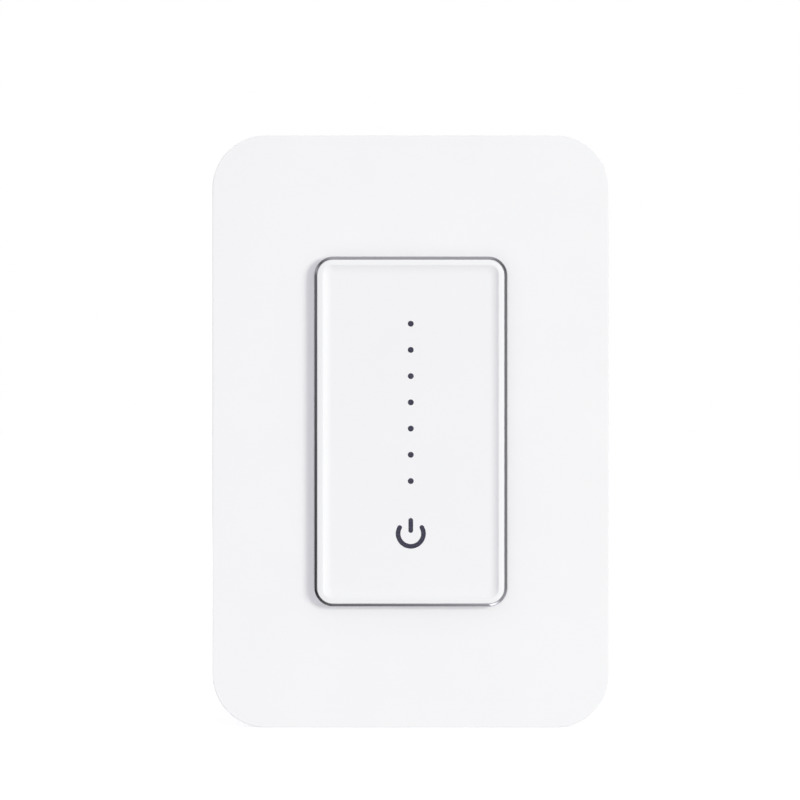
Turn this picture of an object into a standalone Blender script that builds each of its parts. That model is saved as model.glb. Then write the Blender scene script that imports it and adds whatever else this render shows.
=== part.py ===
# Wall-mounted smart dimmer switch: a screwless face plate round a dished touch panel with a chrome bezel
# Everything is in metres. +X is to the right and +Z up as seen from the room, and +Y runs into the wall
# The origin is the middle of the mounting strap, in the plane of the wall

import bmesh
import bpy
from math import atan2, cos, pi, radians, sin

# Clearances
CONTACT = 0.0001  # between two pieces that rest on each other
FIT = 0.0001  # on each side of a piece that slides into another
SCREW_FIT = 0.0001  # round a screw's shank in its hole

# Face plate
PLATE_BORDER_SIDE = 0.0207  # from the bezel's outside to the plate's edge, left and right
PLATE_BORDER_END = 0.024675  # the same above and below
PLATE_CORNER = 0.0108
PLATE_FACE = 0.0020
PLATE_SKIRT = 0.0022
PLATE_EDGE_ROUND = 0.0004
PLATE_WINDOW_GAP = 0.0003
WINDOW_RIB = 0.0012
WINDOW_RIB_DEPTH = 0.0007
PRY_NOTCH_WIDTH = 0.008
PRY_NOTCH_DEPTH = 0.0013

# Carrier frame that the face plate clicks over
CARRIER_THICKNESS = 0.0018
CARRIER_AIR = 0.0010
CARRIER_GAP = 0.0005
FINGER_LENGTH = 0.012
FINGER_SLOT = 0.0011
FINGER_DEPTH = 0.0034
FINGER_BUMP = 0.0004
FINGER_BUMP_LENGTH = 0.0040
FINGER_CORNER_STEP = 0.002  # from the end of the carrier's straight side to a finger

# Bezel, panel and what lights behind it
BEZEL_WIDTH = 0.0394
BEZEL_HEIGHT = 0.0713
BEZEL_CORNER = 0.0039
BEZEL_WALL = 0.0006
BEZEL_CHAMFER = 0.0005
BEZEL_PROUD = 0.0023
BEZEL_BURIED = 0.0010
PANEL_PROUD = 0.0005
PANEL_EDGE_ROUND = 0.0002
PANEL_RIM = 0.0011
PANEL_RIM_DROP = 0.00014  # how far the rim rolls back towards its outside
PANEL_SLOPE = 0.0017
PANEL_DISH = 0.0006
PANEL_THICKNESS = 0.0015
DOT_COUNT = 7
DOT_DIAMETER = 0.00112
DOT_TOP_INSET = 0.01372  # from the bezel's top to the middle of the first dot
DOT_ICON_STEP = 0.01077  # from the last dot to the middle of the power symbol
ICON_INSET = 0.01483  # from the bezel's bottom to the middle of the power symbol
ICON_RADIUS = 0.00253
ICON_STROKE = 0.00087
ICON_OPENING = 58.0  # degrees from the top to each end of the ring
ICON_BAR_RISE = 0.00317  # from the ring's middle to the bar's top
ICON_BAR_LENGTH = 0.0031
LENS_GAP = 0.00004
GUIDE_WIDTH = 0.0036
SENSOR_THICKNESS = 0.0003
SENSOR_MARGIN = 0.0045
SENSOR_CORNER = 0.0020
SENSOR_GUIDE_GAP = 0.0003
SPRING_RADIUS = 0.0021
SPRING_WIRE = 0.0004
SPRING_TURNS = 3
SPRING_INSET = 0.005

# Front tray
TRAY_WALL = 0.0016
TRAY_FLOOR = 0.0014
WINDOW_WIDTH = 0.021
WINDOW_HEIGHT = 0.021
WINDOW_CORNER = 0.0015

# Mounting strap
STRAP_THICKNESS = 0.0015
STRAP_LEDGE = 0.0030  # how far the strap's body reaches past the housing's ends
STRAP_NECK_WIDTH = 0.0254
STRAP_EAR_WIDTH = 0.041
STRAP_EAR_REACH = 0.0041  # the ear above and below its screw hole
STRAP_ROUND = 0.0015
BOX_SCREW_STEP = 0.00602  # from the bezel's end to a box screw, which sets them 83.34 mm apart
CARRIER_SCREW_STEP = 0.00673  # from a box screw to a carrier screw, which sets those 96.8 mm apart
BOX_SLOT_LENGTH = 0.0068
GROUND_TAB_HEIGHT = 0.0062
GROUND_TAB_DEPTH = 0.0098
GROUND_TAB_INSET = 0.0003
GROUND_TAB_GAP = 0.0003

# Rear housing
HOUSING_WIDTH = 0.044
HOUSING_INSET = 0.00165  # how far the housing's ends stand in from the bezel's
HOUSING_DEPTH = 0.0300
HOUSING_CORNER = 0.0030
HOUSING_WALL = 0.0018
HOUSING_BACK = 0.0020
HOUSING_DRAFT = 0.0005
HOUSING_EDGE = 0.0008
BOSS_RADIUS = 0.0030
BOSS_SIDE_INSET = 0.0049  # from the bezel's outside to the middle of a boss
BOSS_END_INSET = 0.00525
POST_SIZE = 0.0028
VENT_COUNT = 5
VENT_PITCH = 0.0040
VENT_WIDTH = 0.0015
VENT_LENGTH = 0.0100

# Wire terminals
TERMINAL_Z = 0.0140
POCKET_HEIGHT = 0.0112
POCKET_LENGTH = 0.0122
POCKET_DEPTH = 0.0060
LUG_THICKNESS = 0.0012
LUG_TAIL_WIDTH = 0.0030
CLAMP_THICKNESS = 0.0010
CLAMP_MARGIN = 0.0005
PLATE_CORNER_ROUND = 0.0008
WIRE_HOLE_RADIUS = 0.0014
WIRE_HOLE_SPREAD = 0.0033

# Screws: head radius, head height, shank radius
TERMINAL_HEAD_RADIUS = 0.0036
TERMINAL_HEAD_HEIGHT = 0.0023
TERMINAL_SHANK_RADIUS = 0.0017
TERMINAL_SCREW_LENGTH = 0.0070
BOX_HEAD_RADIUS = 0.0032
BOX_HEAD_HEIGHT = 0.0021
BOX_SHANK_RADIUS = 0.0017
BOX_SCREW_LENGTH = 0.0254
RETAINER_SIZE = 0.0080
RETAINER_CORNER = 0.0007
RETAINER_THICKNESS = 0.0010
CARRIER_HEAD_RADIUS = 0.0028
CARRIER_HEAD_HEIGHT = 0.00145
CARRIER_HEAD_RIM = 0.0003
CARRIER_SHANK_RADIUS = 0.0016
CARRIER_SCREW_LENGTH = 0.0110
HOUSING_HEAD_RADIUS = 0.0023
HOUSING_HEAD_HEIGHT = 0.0016
HOUSING_SHANK_RADIUS = 0.0012
DEVICE_HEAD_RADIUS = 0.0027
DEVICE_HEAD_HEIGHT = 0.0012
DEVICE_SHANK_RADIUS = 0.0014
SLOT_WIDTH = 0.0008
SLOT_DEPTH = 0.0010
SLOT_REACH = 0.66
HEAD_ROUND = 0.3
TIP_ROUND = 0.45

# Boards and components
BOARD_SIDE_GAP = 0.0005
BOARD_END_GAP = 0.00065
BOARD_CORNER = 0.0010
CONTROL_BOARD_THICKNESS = 0.0012
POWER_BOARD_THICKNESS = 0.0016
POWER_BOARD_GAP = 0.0035  # from the power board to the terminal pockets
POWER_BOARD_MARGIN = 0.00045  # how far the power board reaches past the lugs
LED_WIDTH = 0.0016
LED_LENGTH = 0.0008
LED_HEIGHT = 0.0008
HEADER_WIDTH = 0.0140
HEADER_THICKNESS = 0.0025
HEADER_GAP = 0.00095
RADIO_WIDTH = 0.0160
RADIO_HEIGHT = 0.0150
RADIO_THICKNESS = 0.0008
RADIO_GAP = 0.0010
SHIELD_WIDTH = 0.0140
SHIELD_HEIGHT = 0.0100
SHIELD_THICKNESS = 0.0018
SHIELD_GAP = 0.0006
PAD_THICKNESS = 0.0003
PAD_MARGIN = 0.0010
DEVICE_WIDTH = 0.0100
DEVICE_BODY = 0.0090
DEVICE_TAB = 0.0066
DEVICE_SHARE = 0.52  # the device's thickness as a share of the space in front of the power board
DEVICE_TAB_THICKNESS = 0.0013
LEG_PITCH = 0.0025
LEG_SIZE = 0.0007
LEG_DROP = 0.0021
LEG_INSET = 0.0015
COMPONENT_GAP = 0.0008
CHOKE_RADIUS = 0.0056
CHOKE_CORE = 0.0026
TRANSFORMER_SIZE = 0.0130
TRANSFORMER_DEPTH = 0.0110
FILM_WIDTH = 0.0060
FILM_HEIGHT = 0.0130
FILM_DEPTH = 0.0090
BULK_RADIUS = 0.0045
BULK_DEPTH = 0.0130
VARISTOR_RADIUS = 0.0042
VARISTOR_THICKNESS = 0.0032
FUSE_RADIUS = 0.0020
FUSE_LENGTH = 0.0070

# Fineness of the round shapes
CORNER_STEPS = 6
FINE_STEPS = 8
ROUND_STEPS = 12
RIM_STEPS = 3
SLOPE_STEPS = 6
SPRING_POINTS = 10
LEAST_CORNER = 0.125  # of an outline's corner, where a profile runs further in than the corner is round

# Depths, from the wall out into the room
strap_front = -STRAP_THICKNESS
seat_y = strap_front - CONTACT
carrier_front = seat_y - CARRIER_THICKNESS
plate_inner = carrier_front - CARRIER_AIR
plate_front = plate_inner - PLATE_FACE
bezel_back = plate_front + BEZEL_BURIED
bezel_front = plate_front - BEZEL_PROUD
panel_rim = bezel_front - PANEL_PROUD
dish_y = panel_rim + PANEL_DISH
panel_back = dish_y + PANEL_THICKNESS
neck_front = panel_back + CONTACT
flange_front = bezel_back + CONTACT
tray_floor = seat_y - TRAY_FLOOR
control_back = tray_floor - CONTACT
control_front = control_back - CONTROL_BOARD_THICKNESS
led_front = control_front - CONTACT - LED_HEIGHT
guide_back = led_front - CONTACT
guide_front = panel_back + CONTACT
sensor_back = guide_front + SENSOR_THICKNESS

# Depths, from the wall back into the box
housing_front = CONTACT
housing_back = housing_front + HOUSING_DEPTH
housing_inner = housing_back - HOUSING_BACK
pocket_front = housing_inner - POCKET_LENGTH
terminal_y = housing_inner - POCKET_LENGTH / 2
power_back = pocket_front - HOUSING_WALL - POWER_BOARD_GAP
power_front = power_back - POWER_BOARD_THICKNESS
component_base = power_back + CONTACT
device_face = CONTACT + PAD_THICKNESS + CONTACT
device_back = device_face + DEVICE_SHARE * (power_front - device_face)
ground_y = GROUND_TAB_DEPTH - TERMINAL_HEAD_RADIUS - CONTACT

# Half sizes and places across the switch
bezel_w = BEZEL_WIDTH / 2
bezel_h = BEZEL_HEIGHT / 2
plate_w = bezel_w + PLATE_BORDER_SIDE
plate_h = bezel_h + PLATE_BORDER_END
cavity_w = plate_w - PLATE_SKIRT
cavity_h = plate_h - PLATE_SKIRT
carrier_w = cavity_w - CARRIER_GAP
carrier_h = cavity_h - CARRIER_GAP
carrier_corner = PLATE_CORNER - PLATE_SKIRT - CARRIER_GAP
panel_side = BEZEL_WALL + FIT  # how far the panel's outside stands in from the bezel's
tray_side = panel_side + TRAY_WALL
housing_w = HOUSING_WIDTH / 2
housing_h = bezel_h - HOUSING_INSET
strap_body_h = housing_h + STRAP_LEDGE
box_screw_z = bezel_h + BOX_SCREW_STEP
carrier_screw_z = box_screw_z + CARRIER_SCREW_STEP
finger_z = carrier_h - carrier_corner - FINGER_CORNER_STEP - FINGER_LENGTH / 2
pocket_floor = housing_w - POCKET_DEPTH
lug_inner = pocket_floor + CONTACT
lug_outer = lug_inner + LUG_THICKNESS
clamp_inner = lug_outer + CONTACT
clamp_outer = clamp_inner + CLAMP_THICKNESS
head_inner = clamp_outer + CONTACT
boss_x = bezel_w - BOSS_SIDE_INSET
boss_z = bezel_h - BOSS_END_INSET
board_end = boss_z - BOSS_RADIUS - BOARD_END_GAP
control_w = bezel_w - tray_side - BOARD_SIDE_GAP
power_w = lug_outer + POWER_BOARD_MARGIN
icon_z = ICON_INSET - bezel_h
dot_top_z = bezel_h - DOT_TOP_INSET
dot_pitch = (dot_top_z - icon_z - DOT_ICON_STEP) / (DOT_COUNT - 1)
dot_places = [(0.0, dot_top_z - dot_pitch * i) for i in range(DOT_COUNT)]
sensor_w = bezel_w - panel_side - SENSOR_MARGIN
sensor_h = bezel_h - panel_side - SENSOR_MARGIN
window_top = boss_z - BOSS_RADIUS - BOARD_END_GAP
window_bottom = window_top - WINDOW_HEIGHT
ground_tab_outer = GROUND_TAB_INSET - STRAP_NECK_WIDTH / 2
ground_tab_z = -strap_body_h - GROUND_TAB_GAP - GROUND_TAB_HEIGHT / 2
leg_z = LEG_INSET - board_end
device_bottom = leg_z + LEG_DROP
device_top = device_bottom + DEVICE_BODY + DEVICE_TAB
device_hole_z = device_top - DEVICE_TAB / 2
boss_places = [(sx * boss_x, sz * boss_z) for sx in (-1, 1) for sz in (-1, 1)]
terminals = [("line", 1, TERMINAL_Z), ("load", 1, -TERMINAL_Z), ("neutral", -1, TERMINAL_Z)]


# Scene and materials


def new_collection(name):
    collection = bpy.data.collections.new(name)
    bpy.context.scene.collection.children.link(collection)
    return collection


def make_material(name, colour, roughness, metallic=0.0):
    material = bpy.data.materials.new(name)
    material.use_nodes = True
    shader = material.node_tree.nodes["Principled BSDF"]
    shader.inputs["Base Color"].default_value = (*colour, 1.0)
    shader.inputs["Roughness"].default_value = roughness
    shader.inputs["Metallic"].default_value = metallic
    material.diffuse_color = (*colour, 1.0)
    return material


for old in list(bpy.data.objects):
    bpy.data.objects.remove(old, do_unlink=True)
parts = new_collection("smart_dimmer_switch")
helpers = new_collection("cutters")
helpers.hide_render = True

white_gloss = make_material("white_gloss", (0.86, 0.86, 0.87), 0.25)
white_satin = make_material("white_satin", (0.88, 0.88, 0.88), 0.40)
white_frame = make_material("white_frame", (0.80, 0.80, 0.79), 0.50)
chrome = make_material("chrome", (0.78, 0.78, 0.80), 0.08, 1.0)
smoked_lens = make_material("smoked_lens", (0.06, 0.06, 0.09), 0.30)
strap_metal = make_material("strap_metal", (0.70, 0.71, 0.72), 0.35, 1.0)
zinc = make_material("zinc", (0.62, 0.62, 0.60), 0.35, 1.0)
brass = make_material("brass", (0.72, 0.55, 0.25), 0.35, 1.0)
green_metal = make_material("green_metal", (0.05, 0.35, 0.14), 0.35, 1.0)
housing_black = make_material("housing_black", (0.035, 0.035, 0.038), 0.55)
board_green = make_material("board_green", (0.03, 0.20, 0.10), 0.45)
component_black = make_material("component_black", (0.03, 0.03, 0.03), 0.50)
component_grey = make_material("component_grey", (0.55, 0.55, 0.55), 0.45)
component_yellow = make_material("component_yellow", (0.75, 0.60, 0.12), 0.50)
component_blue = make_material("component_blue", (0.05, 0.14, 0.45), 0.45)
pad_grey = make_material("pad_grey", (0.45, 0.47, 0.50), 0.80)
copper = make_material("copper", (0.80, 0.45, 0.30), 0.40, 1.0)
fibre = make_material("fibre", (0.45, 0.33, 0.22), 0.80)


# Outlines, as lists of (x, z) points


def arc(cx, cz, radius, start, end, steps):
    """Points on an arc, from the start angle to the end angle in radians, both ends included."""
    angles = [start + (end - start) * i / steps for i in range(steps + 1)]
    return [(cx + radius * cos(angle), cz + radius * sin(angle)) for angle in angles]


def arc_points(inset, y, radius, start, end, steps):
    """The same in degrees, about a centre given as an inset and a depth, for a profile's rounded edge."""
    return arc(inset, y, radius, radians(start), radians(end), steps)


def circle(cx, cz, radius, steps=ROUND_STEPS):
    return arc(cx, cz, radius, 0.0, 2 * pi, steps)[:-1]


def rounded_rectangle(half_width, half_height, radius, steps=CORNER_STEPS, cz=0.0):
    points = []
    for sx, sz, start in ((1, 1, 0.0), (-1, 1, pi / 2), (-1, -1, pi), (1, -1, 3 * pi / 2)):
        x, z = sx * (half_width - radius), cz + sz * (half_height - radius)
        points += arc(x, z, radius, start, start + pi / 2, steps)
    return points


def slot_outline(cz, length, width, steps=6):
    """A slot with round ends that runs along X."""
    reach = (length - width) / 2
    right = arc(reach, cz, width / 2, -pi / 2, pi / 2, steps)
    return right + arc(-reach, cz, width / 2, pi / 2, 3 * pi / 2, steps)


def rounded_polygon(corners, radius, steps=3):
    """A polygon with square corners, inner and outer, all rounded to one radius."""
    points = []
    count = len(corners)
    for i, (x, z) in enumerate(corners):
        (x0, z0), (x1, z1) = corners[i - 1], corners[(i + 1) % count]
        back, ahead = atan2(z0 - z, x0 - x), atan2(z1 - z, x1 - x)
        cx = x + radius * (cos(back) + cos(ahead))
        cz = z + radius * (sin(back) + sin(ahead))
        start, sweep = ahead + pi, (back - ahead + pi) % (2 * pi) - pi
        points += arc(cx, cz, radius, start, start + sweep, steps)
    return points


# Shapes


def link(obj, material=None):
    """Puts a piece with the parts, or with the helpers if it has no material."""
    if material:
        parts.objects.link(obj)
        obj.data.materials.append(material)
    else:
        helpers.objects.link(obj)
        obj.hide_render = True
        obj.display_type = "WIRE"
    return obj


def object_from_bmesh(name, bm, material=None):
    mesh = bpy.data.meshes.new(name)
    bmesh.ops.recalc_face_normals(bm, faces=bm.faces)
    bm.to_mesh(mesh)
    bm.free()
    return link(bpy.data.objects.new(name, mesh), material)


def flat_piece(name, outlines, front, back, material=None):
    """A flat plate in the plane of the wall, from its outline and the outlines of its holes."""
    curve = bpy.data.curves.new(name, "CURVE")
    curve.dimensions = "2D"
    curve.fill_mode = "BOTH"
    curve.extrude = (back - front) / 2
    for outline in outlines:
        spline = curve.splines.new("POLY")
        spline.points.add(len(outline) - 1)
        for point, (x, z) in zip(spline.points, outline):
            point.co = (x, z, 0.0, 1.0)
        spline.use_cyclic_u = True
    guide = bpy.data.objects.new(name + "_outline", curve)
    helpers.objects.link(guide)
    mesh = bpy.data.meshes.new_from_object(guide.evaluated_get(bpy.context.evaluated_depsgraph_get()))
    bpy.data.objects.remove(guide)
    bm = bmesh.new()
    bm.from_mesh(mesh)
    bmesh.ops.remove_doubles(bm, verts=bm.verts, dist=1e-7)
    caps = [f for f in bm.faces if max(v.co.z for v in f.verts) - min(v.co.z for v in f.verts) < 1e-7]
    bmesh.ops.beautify_fill(bm, faces=caps, edges=list({e for f in caps for e in f.edges}))
    bm.to_mesh(mesh)
    bm.free()
    mesh.name = name
    obj = link(bpy.data.objects.new(name, mesh), material)
    obj.rotation_euler = (pi / 2, 0.0, 0.0)
    obj.location = (0.0, (front + back) / 2, 0.0)
    return obj


def frame_loft(name, half_width, half_height, corner, profile, material=None, closed=False, steps=FINE_STEPS):
    """Rounded rectangles joined into one skin: a profile point is an inset from the outline and a depth."""
    bm = bmesh.new()
    rings = []
    for inset, y in profile:
        radius = max(corner - inset, corner * LEAST_CORNER)
        outline = rounded_rectangle(half_width - inset, half_height - inset, radius, steps)
        rings.append([bm.verts.new((x, y, z)) for x, z in outline])
    pairs = list(zip(rings, rings[1:]))
    if closed:
        pairs.append((rings[-1], rings[0]))
    count = len(rings[0])
    for a, b in pairs:
        for i in range(count):
            j = (i + 1) % count
            bm.faces.new((a[i], a[j], b[j], b[i]))
    if not closed:
        bm.faces.new(rings[0])
        bm.faces.new(rings[-1])
    return object_from_bmesh(name, bm, material)


def block(name, low, high, material=None):
    """A box between two corners."""
    bm = bmesh.new()
    bmesh.ops.create_cube(bm, size=1.0)
    bmesh.ops.scale(bm, vec=[h - l for l, h in zip(low, high)], verts=bm.verts)
    obj = object_from_bmesh(name, bm, material)
    obj.location = [(l + h) / 2 for l, h in zip(low, high)]
    return obj


def rod(name, radius, start, end, material=None, steps=ROUND_STEPS):
    """A round bar along X or Y between two points."""
    bm = bmesh.new()
    length = max(abs(e - s) for s, e in zip(start, end))
    bmesh.ops.create_cone(bm, cap_ends=True, segments=steps, radius1=radius, radius2=radius, depth=length)
    obj = object_from_bmesh(name, bm, material)
    along_x = abs(end[0] - start[0]) > abs(end[1] - start[1])
    obj.rotation_euler = (0.0, pi / 2, 0.0) if along_x else (pi / 2, 0.0, 0.0)
    obj.location = [(s + e) / 2 for s, e in zip(start, end)]
    return obj


def turned(name, profile, material=None, steps=ROUND_STEPS):
    """A turned piece about its own Z axis, from (radius, height) points that run from the top down."""
    mesh = bpy.data.meshes.new(name)
    points = [(radius, 0.0, height) for radius, height in profile]
    mesh.from_pydata(points, [(i, i + 1) for i in range(len(points) - 1)], [])
    obj = link(bpy.data.objects.new(name, mesh), material)
    spin = obj.modifiers.new("Turn", "SCREW")
    spin.axis = "Z"
    spin.steps = spin.render_steps = steps
    spin.use_merge_vertices = True
    spin.merge_threshold = 1e-6
    return obj


def combine(obj, other, operation):
    modifier = obj.modifiers.new(other.name, "BOOLEAN")
    modifier.operation = operation
    modifier.object = other
    modifier.solver = "EXACT"


def cut(obj, *others):
    for other in others:
        combine(obj, other, "DIFFERENCE")


def join(obj, *others):
    for other in others:
        combine(obj, other, "UNION")


def angle_shading():
    """A node tree that shades a mesh smooth and keeps its edges sharp above an angle."""
    tree = bpy.data.node_groups.new("smooth_by_angle", "GeometryNodeTree")
    tree.interface.new_socket("Geometry", in_out="INPUT", socket_type="NodeSocketGeometry")
    tree.interface.new_socket("Angle", in_out="INPUT", socket_type="NodeSocketFloat")
    tree.interface.new_socket("Geometry", in_out="OUTPUT", socket_type="NodeSocketGeometry")
    start, end = tree.nodes.new("NodeGroupInput"), tree.nodes.new("NodeGroupOutput")
    faces = tree.nodes.new("GeometryNodeSetShadeSmooth")
    edges = tree.nodes.new("GeometryNodeSetShadeSmooth")
    edges.domain = "EDGE"
    edges.inputs["Shade Smooth"].default_value = False
    bend = tree.nodes.new("GeometryNodeInputMeshEdgeAngle")
    steeper = tree.nodes.new("FunctionNodeCompare")
    steeper.operation = "GREATER_THAN"
    tree.links.new(bend.outputs["Unsigned Angle"], steeper.inputs[0])
    tree.links.new(start.outputs["Angle"], steeper.inputs[1])
    tree.links.new(start.outputs["Geometry"], faces.inputs["Geometry"])
    tree.links.new(faces.outputs["Geometry"], edges.inputs["Geometry"])
    tree.links.new(steeper.outputs["Result"], edges.inputs["Selection"])
    tree.links.new(edges.outputs["Geometry"], end.inputs["Geometry"])
    return tree


def smooth(obj, angle=35.0):
    """Shades a finished piece's round surfaces smooth and keeps its edges sharp."""
    modifier = obj.modifiers.new("Smooth", "NODES")
    modifier.node_group = shading_tree
    modifier["Socket_1"] = radians(angle)
    return obj


def round_corners(obj, radius):
    """Rounds a block's four edges that run along X."""
    bm = bmesh.new()
    bm.from_mesh(obj.data)
    edges = [e for e in bm.edges if abs(e.verts[0].co.x - e.verts[1].co.x) > 1e-6]
    bmesh.ops.bevel(bm, geom=edges, offset=radius, segments=3, affect="EDGES", profile=0.5)
    bm.to_mesh(obj.data)
    bm.free()


def pivot(name, place, parent=None):
    empty = bpy.data.objects.new(name, None)
    parts.objects.link(empty)
    empty.location = place
    empty.parent = parent
    return empty


def carry(empty, obj):
    """Hangs a piece that is already in place from an empty, which doesn't move it."""
    bpy.context.view_layer.update()
    obj.parent = empty
    obj.matrix_parent_inverse = empty.matrix_world.inverted()


def between(side, inner, outer):
    """The low and high end of a span that is given from the middle outwards."""
    return (inner, outer) if side > 0 else (-outer, -inner)


shading_tree = angle_shading()


# Screws


def pan_head(radius, height, shank_radius):
    edge = height * HEAD_ROUND
    top = [(0.0, height), (radius - edge, height), (radius, height - edge)]
    return top + [(radius, 0.0), (shank_radius, 0.0)]


def screw(name, head, shank_radius, length, material):
    """A screw about its own Z axis: its head's profile faces +Z and its shank runs down from 0."""
    tip = shank_radius * TIP_ROUND
    shank = [(shank_radius, -length + tip), (shank_radius - tip, -length), (0.0, -length)]
    obj = turned(name, head + shank, material)
    top, reach = head[0][1], head[2][0] * SLOT_REACH
    for i in range(2):
        low, high = (-reach, -SLOT_WIDTH / 2, top - SLOT_DEPTH), (reach, SLOT_WIDTH / 2, top + SLOT_DEPTH)
        slot = block(f"{name}_slot_{i}", low, high)
        slot.rotation_euler.z = i * pi / 2
        slot.parent = obj
        cut(obj, slot)
    return smooth(obj)


def stand(obj, place, direction):
    """Stands a turned piece at a place with its top towards a direction along X or Y."""
    turns = {"-Y": (pi / 2, 0.0), "+Y": (-pi / 2, 0.0), "+X": (0.0, pi / 2), "-X": (0.0, -pi / 2)}
    obj.location = place
    obj.rotation_euler = (*turns[direction], 0.0)


# Face plate


def make_wall_plate():
    edge_y = plate_front + PLATE_EDGE_ROUND
    profile = [(0.0, 0.0)] + arc_points(PLATE_EDGE_ROUND, edge_y, PLATE_EDGE_ROUND, 180, 270, 3)
    plate = frame_loft("wall_plate", plate_w, plate_h, PLATE_CORNER, profile, white_satin)
    profile = [(0.0, HOUSING_DEPTH), (0.0, plate_inner)]
    cavity = frame_loft("plate_cavity", cavity_w, cavity_h, PLATE_CORNER - PLATE_SKIRT, profile)
    window_w, window_h = bezel_w + PLATE_WINDOW_GAP, bezel_h + PLATE_WINDOW_GAP
    window_corner = BEZEL_CORNER + PLATE_WINDOW_GAP
    grow = WINDOW_RIB
    profile = [(0.0, plate_inner + WINDOW_RIB_DEPTH), (0.0, plate_inner - PLATE_FACE / 2)]
    rib = frame_loft("window_rib", window_w + grow, window_h + grow, window_corner + grow, profile)
    profile = [(0.0, HOUSING_DEPTH), (0.0, plate_front - PLATE_FACE)]
    window = frame_loft("plate_window", window_w, window_h, window_corner, profile)
    notch = block(
        "pry_notch",
        (-PRY_NOTCH_WIDTH / 2, -PRY_NOTCH_DEPTH, -plate_h - PLATE_SKIRT),
        (PRY_NOTCH_WIDTH / 2, HOUSING_DEPTH, -cavity_h + PLATE_SKIRT),
    )
    cut(plate, cavity)
    join(plate, rib)
    cut(plate, window, notch)
    groove_z = FINGER_BUMP_LENGTH / 2 + FINGER_BUMP
    for side in (-1, 1):
        for up in (-1, 1):
            groove = block(
                f"click_groove_{side}_{up}",
                (side * cavity_w - FINGER_BUMP, carrier_front, up * finger_z - groove_z),
                (side * cavity_w + FINGER_BUMP, seat_y, up * finger_z + groove_z),
            )
            cut(plate, groove)
    smooth(plate)
    carry(pivot("wall_plate_pull", (0.0, 0.0, 0.0)), plate)


# Carrier


def make_carrier():
    outlines = [
        rounded_rectangle(carrier_w, carrier_h, carrier_corner),
        rounded_rectangle(bezel_w + CARRIER_GAP, bezel_h + CARRIER_GAP, BEZEL_CORNER + CARRIER_GAP),
    ]
    carrier = flat_piece("plate_carrier", outlines, carrier_front, seat_y, white_frame)
    out, into = carrier_front - CARRIER_THICKNESS, seat_y + CARRIER_THICKNESS
    for up, end in ((-1, "bottom"), (1, "top")):
        z = up * box_screw_z
        relief = rod(f"box_screw_relief_{end}", BOX_HEAD_RADIUS + 2 * FIT, (0.0, out, z), (0.0, into, z))
        z = up * carrier_screw_z
        shank = CARRIER_SHANK_RADIUS + SCREW_FIT
        hole = rod(f"carrier_screw_hole_{end}", shank, (0.0, out, z), (0.0, into, z))
        sink = turned(
            f"carrier_screw_sink_{end}",
            [
                (0.0, CARRIER_THICKNESS),
                (CARRIER_HEAD_RADIUS + FIT, CARRIER_THICKNESS),
                (CARRIER_HEAD_RADIUS + FIT, -CARRIER_HEAD_RIM - FIT),
                (CARRIER_SHANK_RADIUS + FIT, -CARRIER_HEAD_HEIGHT - FIT),
                (0.0, -CARRIER_HEAD_HEIGHT - FIT),
            ],
        )
        stand(sink, (0.0, carrier_front, z), "-Y")
        cut(carrier, relief, hole, sink)
        head = [
            (0.0, 0.0),
            (CARRIER_HEAD_RADIUS, 0.0),
            (CARRIER_HEAD_RADIUS, -CARRIER_HEAD_RIM),
            (CARRIER_SHANK_RADIUS, -CARRIER_HEAD_HEIGHT),
        ]
        obj = screw(f"carrier_screw_{end}", head, CARRIER_SHANK_RADIUS, CARRIER_SCREW_LENGTH, zinc)
        stand(obj, (0.0, carrier_front, z), "-Y")
    for side in (-1, 1):
        for up in (-1, 1):
            cut_finger(carrier, side, up)
    smooth(carrier)


def cut_finger(carrier, side, up):
    """A spring finger at the carrier's edge: a slot behind it, a slit at its free end and a bump outside."""
    out, into = carrier_front - CARRIER_THICKNESS, seat_y + CARRIER_THICKNESS
    name = f"{side}_{up}"
    inner = carrier_w - FINGER_DEPTH
    low, high = between(side, inner, inner + FINGER_SLOT)
    z0, z1 = up * finger_z - FINGER_LENGTH / 2, up * finger_z + FINGER_LENGTH / 2
    slot = block(f"finger_slot_{name}", (low, out, z0), (high, into, z1))
    low, high = between(side, inner, carrier_w + FINGER_SLOT)
    free = z0 if up > 0 else z1 - FINGER_SLOT
    slit = block(f"finger_slit_{name}", (low, out, free), (high, into, free + FINGER_SLOT))
    bump = block(
        f"finger_bump_{name}",
        (side * carrier_w - FINGER_BUMP, carrier_front + FINGER_BUMP, up * finger_z - FINGER_BUMP_LENGTH / 2),
        (side * carrier_w + FINGER_BUMP, seat_y - FINGER_BUMP, up * finger_z + FINGER_BUMP_LENGTH / 2),
    )
    join(carrier, bump)
    cut(carrier, slot, slit)


# Bezel, panel and what lies behind it


def make_bezel():
    profile = [
        (0.0, bezel_back),
        (0.0, bezel_front + BEZEL_CHAMFER),
        (BEZEL_CHAMFER, bezel_front),
        (BEZEL_WALL, bezel_front),
        (BEZEL_WALL, bezel_back),
    ]
    smooth(frame_loft("bezel_ring", bezel_w, bezel_h, BEZEL_CORNER, profile, chrome, closed=True))


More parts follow.
